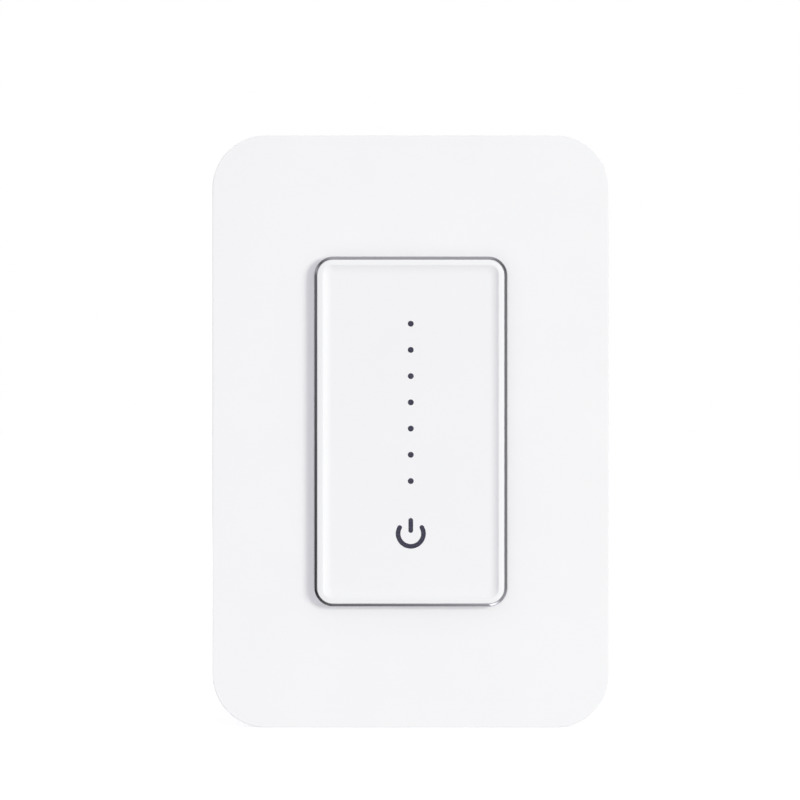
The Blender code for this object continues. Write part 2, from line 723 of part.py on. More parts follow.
def icon_pieces(name, grow, front, back):
    """The power symbol as two solids: an open ring and an upright bar, both with round ends."""
    half = ICON_STROKE / 2 + grow
    opening = radians(ICON_OPENING)
    start, end = pi / 2 + opening, 5 * pi / 2 - opening
    (x0, z0), (x1, z1) = arc(0.0, icon_z, ICON_RADIUS, start, end, 1)
    outline = arc(0.0, icon_z, ICON_RADIUS + half, start, end, 20)
    outline += arc(x1, z1, half, end, end + pi, 4)[1:-1]
    outline += arc(0.0, icon_z, ICON_RADIUS - half, end, start, 20)
    outline += arc(x0, z0, half, start + pi, start + 2 * pi, 4)[1:-1]
    top = icon_z + ICON_BAR_RISE - ICON_STROKE / 2
    bottom = icon_z + ICON_BAR_RISE - ICON_BAR_LENGTH + ICON_STROKE / 2
    bar = arc(0.0, top, half, 0.0, pi, 6) + arc(0.0, bottom, half, pi, 2 * pi, 6)
    return [flat_piece(name + "_ring", [outline], front, back), flat_piece(name + "_bar", [bar], front, back)]


def make_panel():
    edge, rolled = PANEL_EDGE_ROUND, panel_rim + PANEL_RIM_DROP
    profile = [(0.0, panel_back)] + arc_points(edge, rolled + edge, edge, 180, 250, 2)
    for i in range(RIM_STEPS + 1):
        share = i / RIM_STEPS
        profile.append((edge + (PANEL_RIM - edge) * share, rolled - PANEL_RIM_DROP * (2 - share) * share))
    for i in range(1, SLOPE_STEPS + 1):
        share = i / SLOPE_STEPS
        profile.append((PANEL_RIM + PANEL_SLOPE * share, panel_rim + PANEL_DISH * (2 - share) * share))
    half_w, half_h = bezel_w - panel_side, bezel_h - panel_side
    panel = frame_loft("touch_panel", half_w, half_h, BEZEL_CORNER - panel_side, profile, white_gloss)
    front, back = panel_rim - PANEL_THICKNESS, panel_back + PANEL_THICKNESS
    for i, (x, z) in enumerate(dot_places):
        cut(panel, rod(f"dot_hole_{i}", DOT_DIAMETER / 2 + LENS_GAP, (x, front, z), (x, back, z)))
    cut(panel, *icon_pieces("icon_hole", LENS_GAP, front, back))
    smooth(panel)


def guide_outline(grow):
    """The light guide's bar with its round head behind the power symbol."""
    half = GUIDE_WIDTH / 2 + grow
    head = ICON_RADIUS + ICON_STROKE + grow
    lean = atan2((head**2 - half**2) ** 0.5, half)
    top = dot_top_z + GUIDE_WIDTH / 2
    return arc(0.0, icon_z, head, pi - lean, 2 * pi + lean, 18) + arc(0.0, top, half, 0.0, pi, 6)


def make_light_guide():
    guide = flat_piece("light_guide", [guide_outline(0.0)], guide_front, guide_back, smoked_lens)
    lens_front = dish_y + LENS_GAP / 2
    root = guide_front + (guide_back - guide_front) / 4
    for i, (x, z) in enumerate(dot_places):
        join(guide, rod(f"dot_lens_{i}", DOT_DIAMETER / 2, (x, lens_front, z), (x, root, z)))
    join(guide, *icon_pieces("icon_lens", 0.0, lens_front, root))
    smooth(guide)


def make_touch_sensor():
    outlines = [rounded_rectangle(sensor_w, sensor_h, SENSOR_CORNER, 4), guide_outline(SENSOR_GUIDE_GAP)]
    smooth(flat_piece("touch_sensor", outlines, guide_front, sensor_back, copper))
    for side, name in ((-1, "touch_spring_left"), (1, "touch_spring_right")):
        make_spring(name, side * (sensor_w - SPRING_INSET), sensor_back + CONTACT, control_front - CONTACT)


def make_spring(name, x, front, back):
    """A short coil between the sensor film and the control board."""
    curve = bpy.data.curves.new(name, "CURVE")
    curve.dimensions = "3D"
    curve.bevel_depth = SPRING_WIRE / 2
    curve.bevel_resolution = 1
    curve.use_fill_caps = True
    count = SPRING_TURNS * SPRING_POINTS
    spline = curve.splines.new("POLY")
    spline.points.add(count)
    first, last = front + SPRING_WIRE / 2, back - SPRING_WIRE / 2
    for i, point in enumerate(spline.points):
        angle = 2 * pi * i / SPRING_POINTS
        y = first + (last - first) * i / count
        point.co = (x + SPRING_RADIUS * cos(angle), y, SPRING_RADIUS * sin(angle), 1.0)
    link(bpy.data.objects.new(name, curve), copper)


def window_outline():
    """The opening in the tray and the strap for the header and the radio module."""
    middle = (window_top + window_bottom) / 2
    return rounded_rectangle(WINDOW_WIDTH / 2, WINDOW_HEIGHT / 2, WINDOW_CORNER, 3, middle)


def make_front_tray():
    profile = [
        (0.0, seat_y),
        (0.0, flange_front),
        (panel_side, flange_front),
        (panel_side, neck_front),
        (tray_side, neck_front),
        (tray_side, tray_floor),
    ]
    tray = frame_loft("front_tray", bezel_w, bezel_h, BEZEL_CORNER, profile, white_frame, steps=CORNER_STEPS)
    cut(tray, flat_piece("tray_window", [window_outline()], tray_floor - TRAY_FLOOR, seat_y + TRAY_FLOOR))
    boss_top = neck_front + TRAY_WALL
    for i, (x, z) in enumerate(boss_places):
        join(tray, rod(f"tray_boss_{i}", BOSS_RADIUS, (x, boss_top, z), (x, seat_y - TRAY_FLOOR / 2, z)))
    start, end = boss_top + TRAY_WALL / 2, seat_y + TRAY_FLOOR
    for i, (x, z) in enumerate(boss_places):
        cut(tray, rod(f"tray_pilot_{i}", HOUSING_SHANK_RADIUS + SCREW_FIT, (x, start, z), (x, end, z)))
    smooth(tray)


# Mounting strap


def strap_outline():
    """The strap's outline: a body as wide as the housing, a neck and an ear at each end."""
    upper = [
        (housing_w, strap_body_h),
        (STRAP_NECK_WIDTH / 2, strap_body_h),
        (STRAP_NECK_WIDTH / 2, carrier_screw_z - STRAP_EAR_REACH),
        (STRAP_EAR_WIDTH / 2, carrier_screw_z - STRAP_EAR_REACH),
        (STRAP_EAR_WIDTH / 2, carrier_screw_z + STRAP_EAR_REACH),
    ]
    upper += [(-x, z) for x, z in reversed(upper)]
    return rounded_polygon(upper + [(-x, -z) for x, z in upper], STRAP_ROUND)


def make_strap():
    outlines = [strap_outline(), window_outline()]
    width = 2 * (BOX_SHANK_RADIUS + 3 * SCREW_FIT)
    for up in (-1, 1):
        outlines.append(slot_outline(up * box_screw_z, BOX_SLOT_LENGTH, width))
        outlines.append(circle(0.0, up * carrier_screw_z, CARRIER_SHANK_RADIUS + SCREW_FIT))
    outlines += [circle(x, z, HOUSING_SHANK_RADIUS + SCREW_FIT) for x, z in boss_places]
    outlines.append(circle(0.0, device_hole_z, DEVICE_SHANK_RADIUS + SCREW_FIT))
    strap = flat_piece("mounting_strap", outlines, strap_front, 0.0, strap_metal)
    x, half = ground_tab_outer, GROUND_TAB_HEIGHT / 2
    tab = block(
        "ground_tab",
        (x, -STRAP_THICKNESS / 2, ground_tab_z - half),
        (x + STRAP_THICKNESS, GROUND_TAB_DEPTH, ground_tab_z + half),
    )
    round_corners(tab, STRAP_ROUND)
    hole = rod(
        "ground_hole",
        TERMINAL_SHANK_RADIUS + SCREW_FIT,
        (x - STRAP_THICKNESS, ground_y, ground_tab_z),
        (x + 2 * STRAP_THICKNESS, ground_y, ground_tab_z),
    )
    join(strap, tab)
    cut(strap, hole)
    smooth(strap)


def make_box_screws():
    for up, end in ((-1, "bottom"), (1, "top")):
        z = up * box_screw_z
        head = pan_head(BOX_HEAD_RADIUS, BOX_HEAD_HEIGHT, BOX_SHANK_RADIUS)
        obj = screw(f"box_screw_{end}", head, BOX_SHANK_RADIUS, BOX_SCREW_LENGTH, zinc)
        stand(obj, (0.0, strap_front - CONTACT, z), "-Y")
        half = RETAINER_SIZE / 2
        outlines = [
            rounded_rectangle(half, half, RETAINER_CORNER, 2, z),
            circle(0.0, z, BOX_SHANK_RADIUS + SCREW_FIT),
        ]
        smooth(flat_piece(f"screw_retainer_{end}", outlines, CONTACT, CONTACT + RETAINER_THICKNESS, fibre))


# Rear housing


def make_rear_housing():
    edge, wall = HOUSING_EDGE, HOUSING_WALL
    profile = [(wall + HOUSING_DRAFT, housing_inner), (wall, housing_front), (0.0, housing_front)]
    profile += arc_points(HOUSING_DRAFT + edge, housing_back - edge, edge, 180, 90, 3)
    corner = HOUSING_CORNER
    housing = frame_loft("rear_housing", housing_w, housing_h, corner, profile, housing_black, steps=4)
    root = housing_back - HOUSING_BACK / 2
    for i, (x, z) in enumerate(boss_places):
        join(housing, rod(f"housing_boss_{i}", BOSS_RADIUS, (x, housing_front, z), (x, root, z)))
    half = POST_SIZE / 2
    for sx in (-1, 1):
        for sz in (-1, 1):
            x, z = sx * (power_w - POST_SIZE), sz * (board_end - half)
            low, high = (x - half, component_base, z - half), (x + half, root, z + half)
            join(housing, block(f"board_post_{sx}_{sz}", low, high))
    for name, side, z in terminals:
        low, high = between(side, pocket_floor - HOUSING_WALL, housing_w - HOUSING_WALL / 2 - HOUSING_DRAFT)
        half = POCKET_HEIGHT / 2 + HOUSING_WALL
        pocket = block(f"{name}_pocket", (low, pocket_front - HOUSING_WALL, z - half), (high, root, z + half))
        join(housing, pocket)
    for name, side, z in terminals:
        cut_terminal(housing, name, side, z)
    head_seat = housing_back - HOUSING_HEAD_HEIGHT - CONTACT
    for i, (x, z) in enumerate(boss_places):
        out = housing_back + HOUSING_WALL
        bore = rod(f"housing_bore_{i}", HOUSING_SHANK_RADIUS + SCREW_FIT, (x, -HOUSING_WALL, z), (x, out, z))
        sink = rod(f"housing_sink_{i}", HOUSING_HEAD_RADIUS + 2 * SCREW_FIT, (x, head_seat, z), (x, out, z))
        cut(housing, bore, sink)
        head = pan_head(HOUSING_HEAD_RADIUS, HOUSING_HEAD_HEIGHT, HOUSING_SHANK_RADIUS)
        length = head_seat + CONTACT - (neck_front + 2 * TRAY_WALL)
        obj = screw(f"housing_screw_{i + 1}", head, HOUSING_SHANK_RADIUS, length, zinc)
        stand(obj, (x, head_seat + CONTACT, z), "+Y")
    for up in (-1, 1):
        for i in range(VENT_COUNT):
            x = (i - (VENT_COUNT - 1) / 2) * VENT_PITCH
            low, high = between(up, housing_h - 2 * HOUSING_WALL, housing_h + HOUSING_WALL)
            vent = block(
                f"vent_{up}_{i}",
                (x - VENT_WIDTH / 2, pocket_front, low),
                (x + VENT_WIDTH / 2, pocket_front + VENT_LENGTH, high),
            )
            cut(housing, vent)
    smooth(housing)


def cut_terminal(housing, name, side, z):
    """A terminal's pocket, the slot for its lug's tail, the way for its screw's tip and its wire holes."""
    low, high = between(side, pocket_floor, housing_w + HOUSING_WALL)
    half = POCKET_HEIGHT / 2
    cut(housing, block(f"{name}_pocket_cut", (low, pocket_front, z - half), (high, housing_inner, z + half)))
    low, high = between(side, lug_inner - 2 * FIT, lug_outer + 2 * FIT)
    half = LUG_TAIL_WIDTH / 2 + 2 * FIT
    start, end = pocket_front - 2 * HOUSING_WALL, pocket_front + HOUSING_WALL
    cut(housing, block(f"{name}_tail_slot", (low, start, z - half), (high, end, z + half)))
    tip_way = rod(
        f"{name}_tip_way",
        TERMINAL_SHANK_RADIUS + 3 * SCREW_FIT,
        (side * (pocket_floor - 2 * HOUSING_WALL), terminal_y, z),
        (side * (pocket_floor + HOUSING_WALL), terminal_y, z),
    )
    cut(housing, tip_way)
    x = side * (lug_outer + WIRE_HOLE_RADIUS)
    start, end = housing_inner - HOUSING_BACK, housing_back + HOUSING_BACK
    for i, step in enumerate((-WIRE_HOLE_SPREAD, WIRE_HOLE_SPREAD)):
        cut(housing, rod(f"{name}_wire_hole_{i}", WIRE_HOLE_RADIUS, (x, start, z + step), (x, end, z + step)))


# Wire terminals


def side_plate(name, span, middle, half, material, tail=None):
    """A plate square to X, drilled for its screw, with a tail towards the board if it has one."""
    (low, high), (y, z) = span, middle
    half_y, half_z = half
    plate = block(name, (low, y - half_y, z - half_z), (high, y + half_y, z + half_z), material)
    round_corners(plate, PLATE_CORNER_ROUND)
    if tail is not None:
        reach = LUG_TAIL_WIDTH / 2
        join(plate, block(name + "_tail", (low, tail, z - reach), (high, y, z + reach)))
    start, end = 2 * low - high, 2 * high - low
    cut(plate, rod(name + "_hole", TERMINAL_SHANK_RADIUS + SCREW_FIT, (start, y, z), (end, y, z)))
    return smooth(plate)


def make_terminals():
    half_y, half_z = POCKET_LENGTH / 2 - CLAMP_MARGIN, POCKET_HEIGHT / 2 - CLAMP_MARGIN
    for name, side, z in terminals:
        metal = zinc if name == "neutral" else brass
        middle = (terminal_y, z)
        lug_span, clamp_span = between(side, lug_inner, lug_outer), between(side, clamp_inner, clamp_outer)
        side_plate(f"{name}_lug", lug_span, middle, (half_y, half_z), metal, tail=component_base)
        half = (half_y - CLAMP_MARGIN, half_z - CLAMP_MARGIN)
        clamp = side_plate(f"{name}_clamp_plate", clamp_span, middle, half, metal)
        hang_terminal(name, clamp, (side * head_inner, terminal_y, z), metal)
    outer = ground_tab_outer - CONTACT
    span = (outer - CLAMP_THICKNESS, outer)
    half = GROUND_TAB_HEIGHT / 2
    clamp = side_plate("ground_clamp_plate", span, (ground_y, ground_tab_z), (half, half), green_metal)
    hang_terminal("ground", clamp, (span[0] - CONTACT, ground_y, ground_tab_z), green_metal)


def hang_terminal(name, clamp, place, metal):
    """A terminal's screw at its clamp plate: the plate slides, and the screw turns about the same axis."""
    head = pan_head(TERMINAL_HEAD_RADIUS, TERMINAL_HEAD_HEIGHT, TERMINAL_SHANK_RADIUS)
    obj = screw(f"{name}_terminal_screw", head, TERMINAL_SHANK_RADIUS, TERMINAL_SCREW_LENGTH, metal)
    stand(obj, place, "+X" if place[0] > 0 else "-X")
    slide = pivot(f"{name}_clamp_slide", place)
    carry(slide, clamp)
    carry(pivot(f"{name}_screw_turn", (0.0, 0.0, 0.0), slide), obj)


# Boards and components


def make_boards():
    outline = rounded_rectangle(control_w, board_end, BOARD_CORNER, 2)
    smooth(flat_piece("control_board", [outline], control_front, control_back, board_green))
    outline = rounded_rectangle(power_w, board_end, BOARD_CORNER, 2)
    smooth(flat_piece("power_board", [outline], power_front, power_back, board_green))
    for i, (x, z) in enumerate(dot_places + [(0.0, icon_z)]):
        name = f"level_led_{i + 1}" if i < DOT_COUNT else "power_led"
        low = (x - LED_WIDTH / 2, led_front, z - LED_LENGTH / 2)
        block(name, low, (x + LED_WIDTH / 2, control_front - CONTACT, z + LED_LENGTH / 2), component_grey)


def make_window_parts():
    """What stands on the control board's back, in the window: the header to the power board and the radio."""
    base = control_back + CONTACT
    low_z = window_bottom + HEADER_GAP
    block(
        "board_header",
        (-HEADER_WIDTH / 2, base, low_z),
        (HEADER_WIDTH / 2, power_front - CONTACT, low_z + HEADER_THICKNESS),
        component_black,
    )
    high_z = window_top - RADIO_GAP
    block(
        "radio_module",
        (-RADIO_WIDTH / 2, base, high_z - RADIO_HEIGHT),
        (RADIO_WIDTH / 2, base + RADIO_THICKNESS, high_z),
        board_green,
    )
    base += RADIO_THICKNESS + CONTACT
    low_z = high_z - RADIO_HEIGHT + SHIELD_GAP
    block(
        "radio_shield",
        (-SHIELD_WIDTH / 2, base, low_z),
        (SHIELD_WIDTH / 2, base + SHIELD_THICKNESS, low_z + SHIELD_HEIGHT),
        strap_metal,
    )


def on_board(name, x, z, width, height, depth, material):
    """A boxed component that stands on the power board's back."""
    low = (x - width / 2, component_base, z - height / 2)
    return block(name, low, (x + width / 2, component_base + depth, z + height / 2), material)


def make_components():
    size = TRANSFORMER_SIZE
    on_board("supply_transformer", 0.0, 0.0, size, size, TRANSFORMER_DEPTH, component_black)
    half = size / 2
    x = COMPONENT_GAP / 2 + FILM_WIDTH / 2
    z = -half - COMPONENT_GAP - FILM_HEIGHT / 2
    on_board("film_capacitor", x, z, FILM_WIDTH, FILM_HEIGHT, FILM_DEPTH, component_yellow)
    x = -COMPONENT_GAP / 2 - BULK_RADIUS
    z = -half - COMPONENT_GAP - BULK_RADIUS
    y = component_base + BULK_DEPTH
    smooth(rod("bulk_capacitor", BULK_RADIUS, (x, component_base, z), (x, y, z), component_black))
    x = half + COMPONENT_GAP
    y = component_base + VARISTOR_RADIUS
    end = x + VARISTOR_THICKNESS
    smooth(rod("surge_varistor", VARISTOR_RADIUS, (x, y, 0.0), (end, y, 0.0), component_blue))
    y = component_base + FUSE_RADIUS
    smooth(rod("fuse", FUSE_RADIUS, (-x, y, 0.0), (-x - FUSE_LENGTH, y, 0.0), component_grey))
    bpy.ops.mesh.primitive_torus_add(
        major_radius=CHOKE_RADIUS,
        minor_radius=CHOKE_CORE,
        major_segments=20,
        minor_segments=8,
        location=(0.0, component_base + CHOKE_CORE, half + COMPONENT_GAP + CHOKE_RADIUS + CHOKE_CORE),
        rotation=(pi / 2, 0.0, 0.0),
    )
    choke = bpy.context.object
    choke.name = "noise_choke"
    for collection in list(choke.users_collection):
        collection.objects.unlink(choke)
    smooth(link(choke, component_yellow), 60)


def make_power_device():
    """The device that cuts the lamp's current, screwed through a pad to the strap, which cools it."""
    half = DEVICE_WIDTH / 2
    middle = (device_top + device_bottom) / 2
    reach = (device_top - device_bottom) / 2 + PAD_MARGIN
    outlines = [
        rounded_rectangle(half + PAD_MARGIN, reach, PAD_MARGIN, 2, middle),
        circle(0.0, device_hole_z, DEVICE_SHANK_RADIUS + SCREW_FIT),
    ]
    smooth(flat_piece("insulating_pad", outlines, CONTACT, CONTACT + PAD_THICKNESS, pad_grey))
    tab_back = device_face + DEVICE_TAB_THICKNESS
    low, high = (-half, device_face, device_bottom), (half, device_back, device_bottom + DEVICE_BODY)
    device = block("power_device", low, high, component_black)
    low, high = (-half, device_face, device_bottom + LEG_DROP), (half, tab_back, device_top)
    join(device, block("device_tab", low, high))
    leg = LEG_SIZE / 2
    y = (device_face + device_back) / 2
    for i in (-1, 0, 1):
        x = i * LEG_PITCH
        low, high = (x - leg, y - leg, leg_z - leg), (x + leg, y + leg, device_bottom + LEG_DROP)
        stub = block(f"leg_stub_{i}", low, high)
        pin = block(f"leg_{i}", (x - leg, y, leg_z - leg), (x + leg, power_front - CONTACT, leg_z + leg))
        join(device, stub, pin)
    shank = DEVICE_SHANK_RADIUS + SCREW_FIT
    cut(device, rod("device_hole", shank, (0.0, 0.0, device_hole_z), (0.0, device_back, device_hole_z)))
    smooth(device)
    head = pan_head(DEVICE_HEAD_RADIUS, DEVICE_HEAD_HEIGHT, DEVICE_SHANK_RADIUS)
    obj = screw("device_screw", head, DEVICE_SHANK_RADIUS, tab_back + CONTACT - strap_front, zinc)
    stand(obj, (0.0, tab_back + CONTACT, device_hole_z), "+Y")


make_strap()
make_box_screws()
make_front_tray()
make_boards()
make_window_parts()
make_components()
make_power_device()
make_light_guide()
make_touch_sensor()
make_panel()
make_bezel()
make_rear_housing()
make_terminals()
make_carrier()
make_wall_plate()
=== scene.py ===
import bmesh
import bpy
from math import atan2, cos, degrees, pi, radians, sin, tan
from mathutils import Matrix, Vector


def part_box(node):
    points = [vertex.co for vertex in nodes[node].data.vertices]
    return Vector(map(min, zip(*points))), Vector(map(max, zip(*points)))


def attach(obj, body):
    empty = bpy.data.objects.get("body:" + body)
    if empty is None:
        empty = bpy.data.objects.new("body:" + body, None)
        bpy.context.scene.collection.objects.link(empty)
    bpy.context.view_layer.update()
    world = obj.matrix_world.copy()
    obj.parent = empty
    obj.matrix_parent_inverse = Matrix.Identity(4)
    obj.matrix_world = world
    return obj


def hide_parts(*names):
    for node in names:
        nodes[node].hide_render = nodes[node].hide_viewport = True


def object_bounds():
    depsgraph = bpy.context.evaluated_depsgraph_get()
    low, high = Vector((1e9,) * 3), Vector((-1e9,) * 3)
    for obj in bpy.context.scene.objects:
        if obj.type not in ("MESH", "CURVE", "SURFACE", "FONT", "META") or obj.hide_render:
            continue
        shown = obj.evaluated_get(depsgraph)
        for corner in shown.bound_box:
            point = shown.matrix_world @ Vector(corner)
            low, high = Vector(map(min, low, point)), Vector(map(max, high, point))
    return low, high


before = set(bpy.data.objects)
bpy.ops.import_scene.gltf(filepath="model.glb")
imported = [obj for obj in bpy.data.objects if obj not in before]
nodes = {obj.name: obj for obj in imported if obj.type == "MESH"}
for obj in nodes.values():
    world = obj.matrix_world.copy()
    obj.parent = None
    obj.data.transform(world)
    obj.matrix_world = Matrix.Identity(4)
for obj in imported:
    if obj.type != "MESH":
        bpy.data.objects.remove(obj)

mm = 0.001
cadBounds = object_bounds()
print("frame loaded:", len(nodes), "nodes")

smoothAngle = 32.0  # an edge that bends further, in degrees, is shaded sharp
holdLoop = 0.1 * mm  # how far an extra ring stands from a rounded edge, to keep the face beside it flat
cloudRange = (0.3, 0.7)  # the part of a slow noise over which a colour changes
grainRange = (0.35, 0.65)  # the part of a fine noise over which the gloss changes


# node helpers

def newMaterial(name):
    material = bpy.data.materials.new(name)
    material.use_nodes = True
    tree = material.node_tree
    shader = tree.nodes["Principled BSDF"]
    place = tree.nodes.new("ShaderNodeTexCoord").outputs["Object"]
    return material, tree, shader, place


def mapped(tree, place, setting, value):  # the place stretched or turned before a pattern reads it
    mapping = tree.nodes.new("ShaderNodeMapping")
    mapping.inputs[setting].default_value = value
    tree.links.new(place, mapping.inputs["Vector"])
    return mapping.outputs["Vector"]


def noise(tree, place, size, detail=3.0, rough=0.5):
    texture = tree.nodes.new("ShaderNodeTexNoise")
    texture.inputs["Scale"].default_value = 1.0 / size  # size of the pattern in metres
    texture.inputs["Detail"].default_value = detail
    texture.inputs["Roughness"].default_value = rough
    tree.links.new(place, texture.inputs["Vector"])
    return texture.outputs["Fac"]


def remap(tree, value, low, high, span=grainRange):
    node = tree.nodes.new("ShaderNodeMapRange")
    for name, number in (("From Min", span[0]), ("From Max", span[1]), ("To Min", low), ("To Max", high)):
        node.inputs[name].default_value = number
    tree.links.new(value, node.inputs["Value"])
    return node.outputs["Result"]


def blendColours(tree, value, first, second, span=cloudRange):
    node = tree.nodes.new("ShaderNodeValToRGB")
    for element, position, colour in zip(node.color_ramp.elements, span, (first, second)):
        element.position = position
        element.color = (*colour, 1.0)
    tree.links.new(value, node.inputs["Fac"])
    return node.outputs["Color"]


def maths(tree, operation, a, b=0.0):
    node = tree.nodes.new("ShaderNodeMath")
    node.operation = operation
    for socket, source in zip(node.inputs, (a, b)):
        if isinstance(source, (int, float)):
            socket.default_value = source
        else:
            tree.links.new(source, socket)
    return node.outputs[0]


def newTree(name, *sockets):  # a geometry tree with a mesh coming in, other named inputs and a finish
    tree = bpy.data.node_groups.new(name, "GeometryNodeTree")
    for title, kind in (("Geometry", "Geometry"), *sockets, ("Finish", "Material")):
        tree.interface.new_socket(title, in_out="INPUT", socket_type="NodeSocket" + kind)
    tree.interface.new_socket("Geometry", in_out="OUTPUT", socket_type="NodeSocketGeometry")
    return tree, tree.nodes.new("NodeGroupInput").outputs


def closeTree(tree, given, geometry):  # real geometry with its finish, and out
    real, coat = tree.nodes.new("GeometryNodeRealizeInstances"), tree.nodes.new("GeometryNodeSetMaterial")
    tree.links.new(geometry, real.inputs["Geometry"])
    tree.links.new(real.outputs["Geometry"], coat.inputs["Geometry"])
    tree.links.new(given["Finish"], coat.inputs["Material"])
    tree.links.new(coat.outputs["Geometry"], tree.nodes.new("NodeGroupOutput").inputs["Geometry"])
    return tree


# finishes

def mottle(tree, shader, place, colour, shade, size, detail=2.0):  # clouds that are a little darker
    darker = tuple(c * (1 - shade) for c in colour)
    cloud = noise(tree, place, size, detail)
    tree.links.new(blendColours(tree, cloud, darker, colour), shader.inputs["Base Color"])


def varyGloss(tree, shader, pattern, rough, spread, span=grainRange):
    tree.links.new(remap(tree, pattern, rough - spread, rough + spread, span), shader.inputs["Roughness"])


def relief(tree, shader, height, depth, under=None):
    node = tree.nodes.new("ShaderNodeBump")
    node.inputs["Distance"].default_value = depth
    tree.links.new(height, node.inputs["Height"])
    if under:
        tree.links.new(under, node.inputs["Normal"])
    tree.links.new(node.outputs["Normal"], shader.inputs["Normal"])
    return node.outputs["Normal"]


def mouldedPlastic(name, colour, shade, rough, spread, grain, depth, waves=None):
    material, tree, shader, place = newMaterial(name)
    mottle(tree, shader, place, colour, shade, 14 * mm)
    fine = noise(tree, place, grain * mm, 2.0, 0.6)
    varyGloss(tree, shader, fine, rough, spread)
    under = None
    if waves:  # faint ones, where the plastic shrank as it cooled
        under = relief(tree, shader, noise(tree, place, waves[0] * mm, 1.0), waves[1] * mm)
    relief(tree, shader, fine, depth * mm, under)
    shader.inputs["IOR"].default_value = 1.5
    return material


def platedMetal(name, colour, shade, rough, spread, grain, depth, metallic):
    material, tree, shader, place = newMaterial(name)
    mottle(tree, shader, place, colour, shade, 6 * mm, 3.0)
    fine = noise(tree, place, grain * mm, 3.0, 0.6)
    varyGloss(tree, shader, fine, rough, spread)
    relief(tree, shader, fine, depth * mm)
    shader.inputs["Metallic"].default_value = metallic
    return material


zincSheet = {
    "colour": (0.74, 0.75, 0.76), "darker": 0.86, "crystal": 3.2 * mm, "rough": 0.34, "spread": 0.07,
    "grain": 0.12 * mm, "drawn": (1.0, 1.0, 0.12), "depth": 0.004 * mm, "metallic": 0.85,
}


def spangledZinc(name, p):
    material, tree, shader, place = newMaterial(name)
    crystals = tree.nodes.new("ShaderNodeTexVoronoi")
    crystals.inputs["Scale"].default_value = 1 / p["crystal"]
    tree.links.new(place, crystals.inputs["Vector"])
    tone = tree.nodes.new("ShaderNodeSeparateColor")
    tree.links.new(crystals.outputs["Color"], tone.inputs["Color"])
    dark = tuple(c * p["darker"] for c in p["colour"])
    pale = blendColours(tree, tone.outputs["Red"], dark, p["colour"], (0.0, 1.0))
    tree.links.new(pale, shader.inputs["Base Color"])
    varyGloss(tree, shader, tone.outputs["Green"], p["rough"], p["spread"], (0.0, 1.0))
    relief(tree, shader, noise(tree, mapped(tree, place, "Scale", p["drawn"]), p["grain"]), p["depth"])
    shader.inputs["Metallic"].default_value = p["metallic"]
    return material


boardFace = {
    "mask": (0.012, 0.13, 0.055), "track": (0.03, 0.23, 0.10), "trackLength": 3.1 * mm, "trackStep": 1.27 * mm,
    "trackWidth": 0.16 * mm, "trackBlur": 0.2, "weave": 0.5 * mm, "rough": (0.28, 0.42), "depth": 0.03 * mm,
}


def circuitBoard(name, p):
    material, tree, shader, place = newMaterial(name)
    tracks = tree.nodes.new("ShaderNodeTexBrick")
    tracks.inputs["Scale"].default_value = 1.0
    tracks.inputs["Brick Width"].default_value = p["trackLength"]
    tracks.inputs["Row Height"].default_value = p["trackStep"]
    tracks.inputs["Mortar Size"].default_value = p["trackWidth"]
    tracks.inputs["Mortar Smooth"].default_value = p["trackBlur"]
    tree.links.new(mapped(tree, place, "Rotation", (pi / 2, 0.0, 0.0)), tracks.inputs["Vector"])
    face = blendColours(tree, tracks.outputs["Fac"], p["mask"], p["track"], (0.0, 1.0))
    tree.links.new(face, shader.inputs["Base Color"])
    weave = noise(tree, place, p["weave"], 2.0)
    tree.links.new(remap(tree, weave, *p["rough"]), shader.inputs["Roughness"])
    relief(tree, shader, tracks.outputs["Fac"], p["depth"])
    return material


smokedLens = {
    "colour": (0.062, 0.060, 0.095), "shade": 0.18, "cloud": 1.1 * mm, "rough": 0.28, "spread": 0.05,
    "gloss": 0.3 * mm, "grain": 0.2 * mm, "depth": 0.002 * mm,
}


def darkLens(name, p):
    material, tree, shader, place = newMaterial(name)
    mottle(tree, shader, place, p["colour"], p["shade"], p["cloud"])
    varyGloss(tree, shader, noise(tree, place, p["gloss"]), p["rough"], p["spread"])
    relief(tree, shader, noise(tree, place, p["grain"]), p["depth"])
    return material


# name, colour, how much darker its clouds are, roughness and its spread, grain and its depth in mm, waves in mm
plastics = {
    "white_satin": ("satinWhitePlate", (0.875, 0.875, 0.880), 0.012, 0.36, 0.05, 0.22, 0.0035, (9, 0.02)),
    "white_gloss": ("glossWhitePanel", (0.858, 0.858, 0.866), 0.008, 0.20, 0.03, 0.35, 0.0012, (12, 0.012)),
    "white_frame": ("frameWhitePlastic", (0.78, 0.78, 0.77), 0.03, 0.46, 0.06, 0.25, 0.008),
    "housing_black": ("housingBlack", (0.040, 0.040, 0.043), 0.18, 0.50, 0.07, 0.35, 0.018),
    "component_black": ("componentBlack", (0.030, 0.030, 0.032), 0.2, 0.45, 0.08, 0.2, 0.01),
    "component_grey": ("componentGrey", (0.58, 0.58, 0.57), 0.08, 0.35, 0.08, 0.2, 0.005),
    "component_yellow": ("componentYellow", (0.75, 0.58, 0.10), 0.10, 0.38, 0.08, 0.4, 0.01),
    "component_blue": ("componentBlue", (0.04, 0.13, 0.42), 0.15, 0.35, 0.08, 0.3, 0.02),
    "pad_grey": ("padGrey", (0.43, 0.45, 0.48), 0.10, 0.75, 0.08, 0.15, 0.012),
    "fibre": ("retainerFibre", (0.44, 0.32, 0.21), 0.25, 0.78, 0.08, 0.3, 0.03),
}
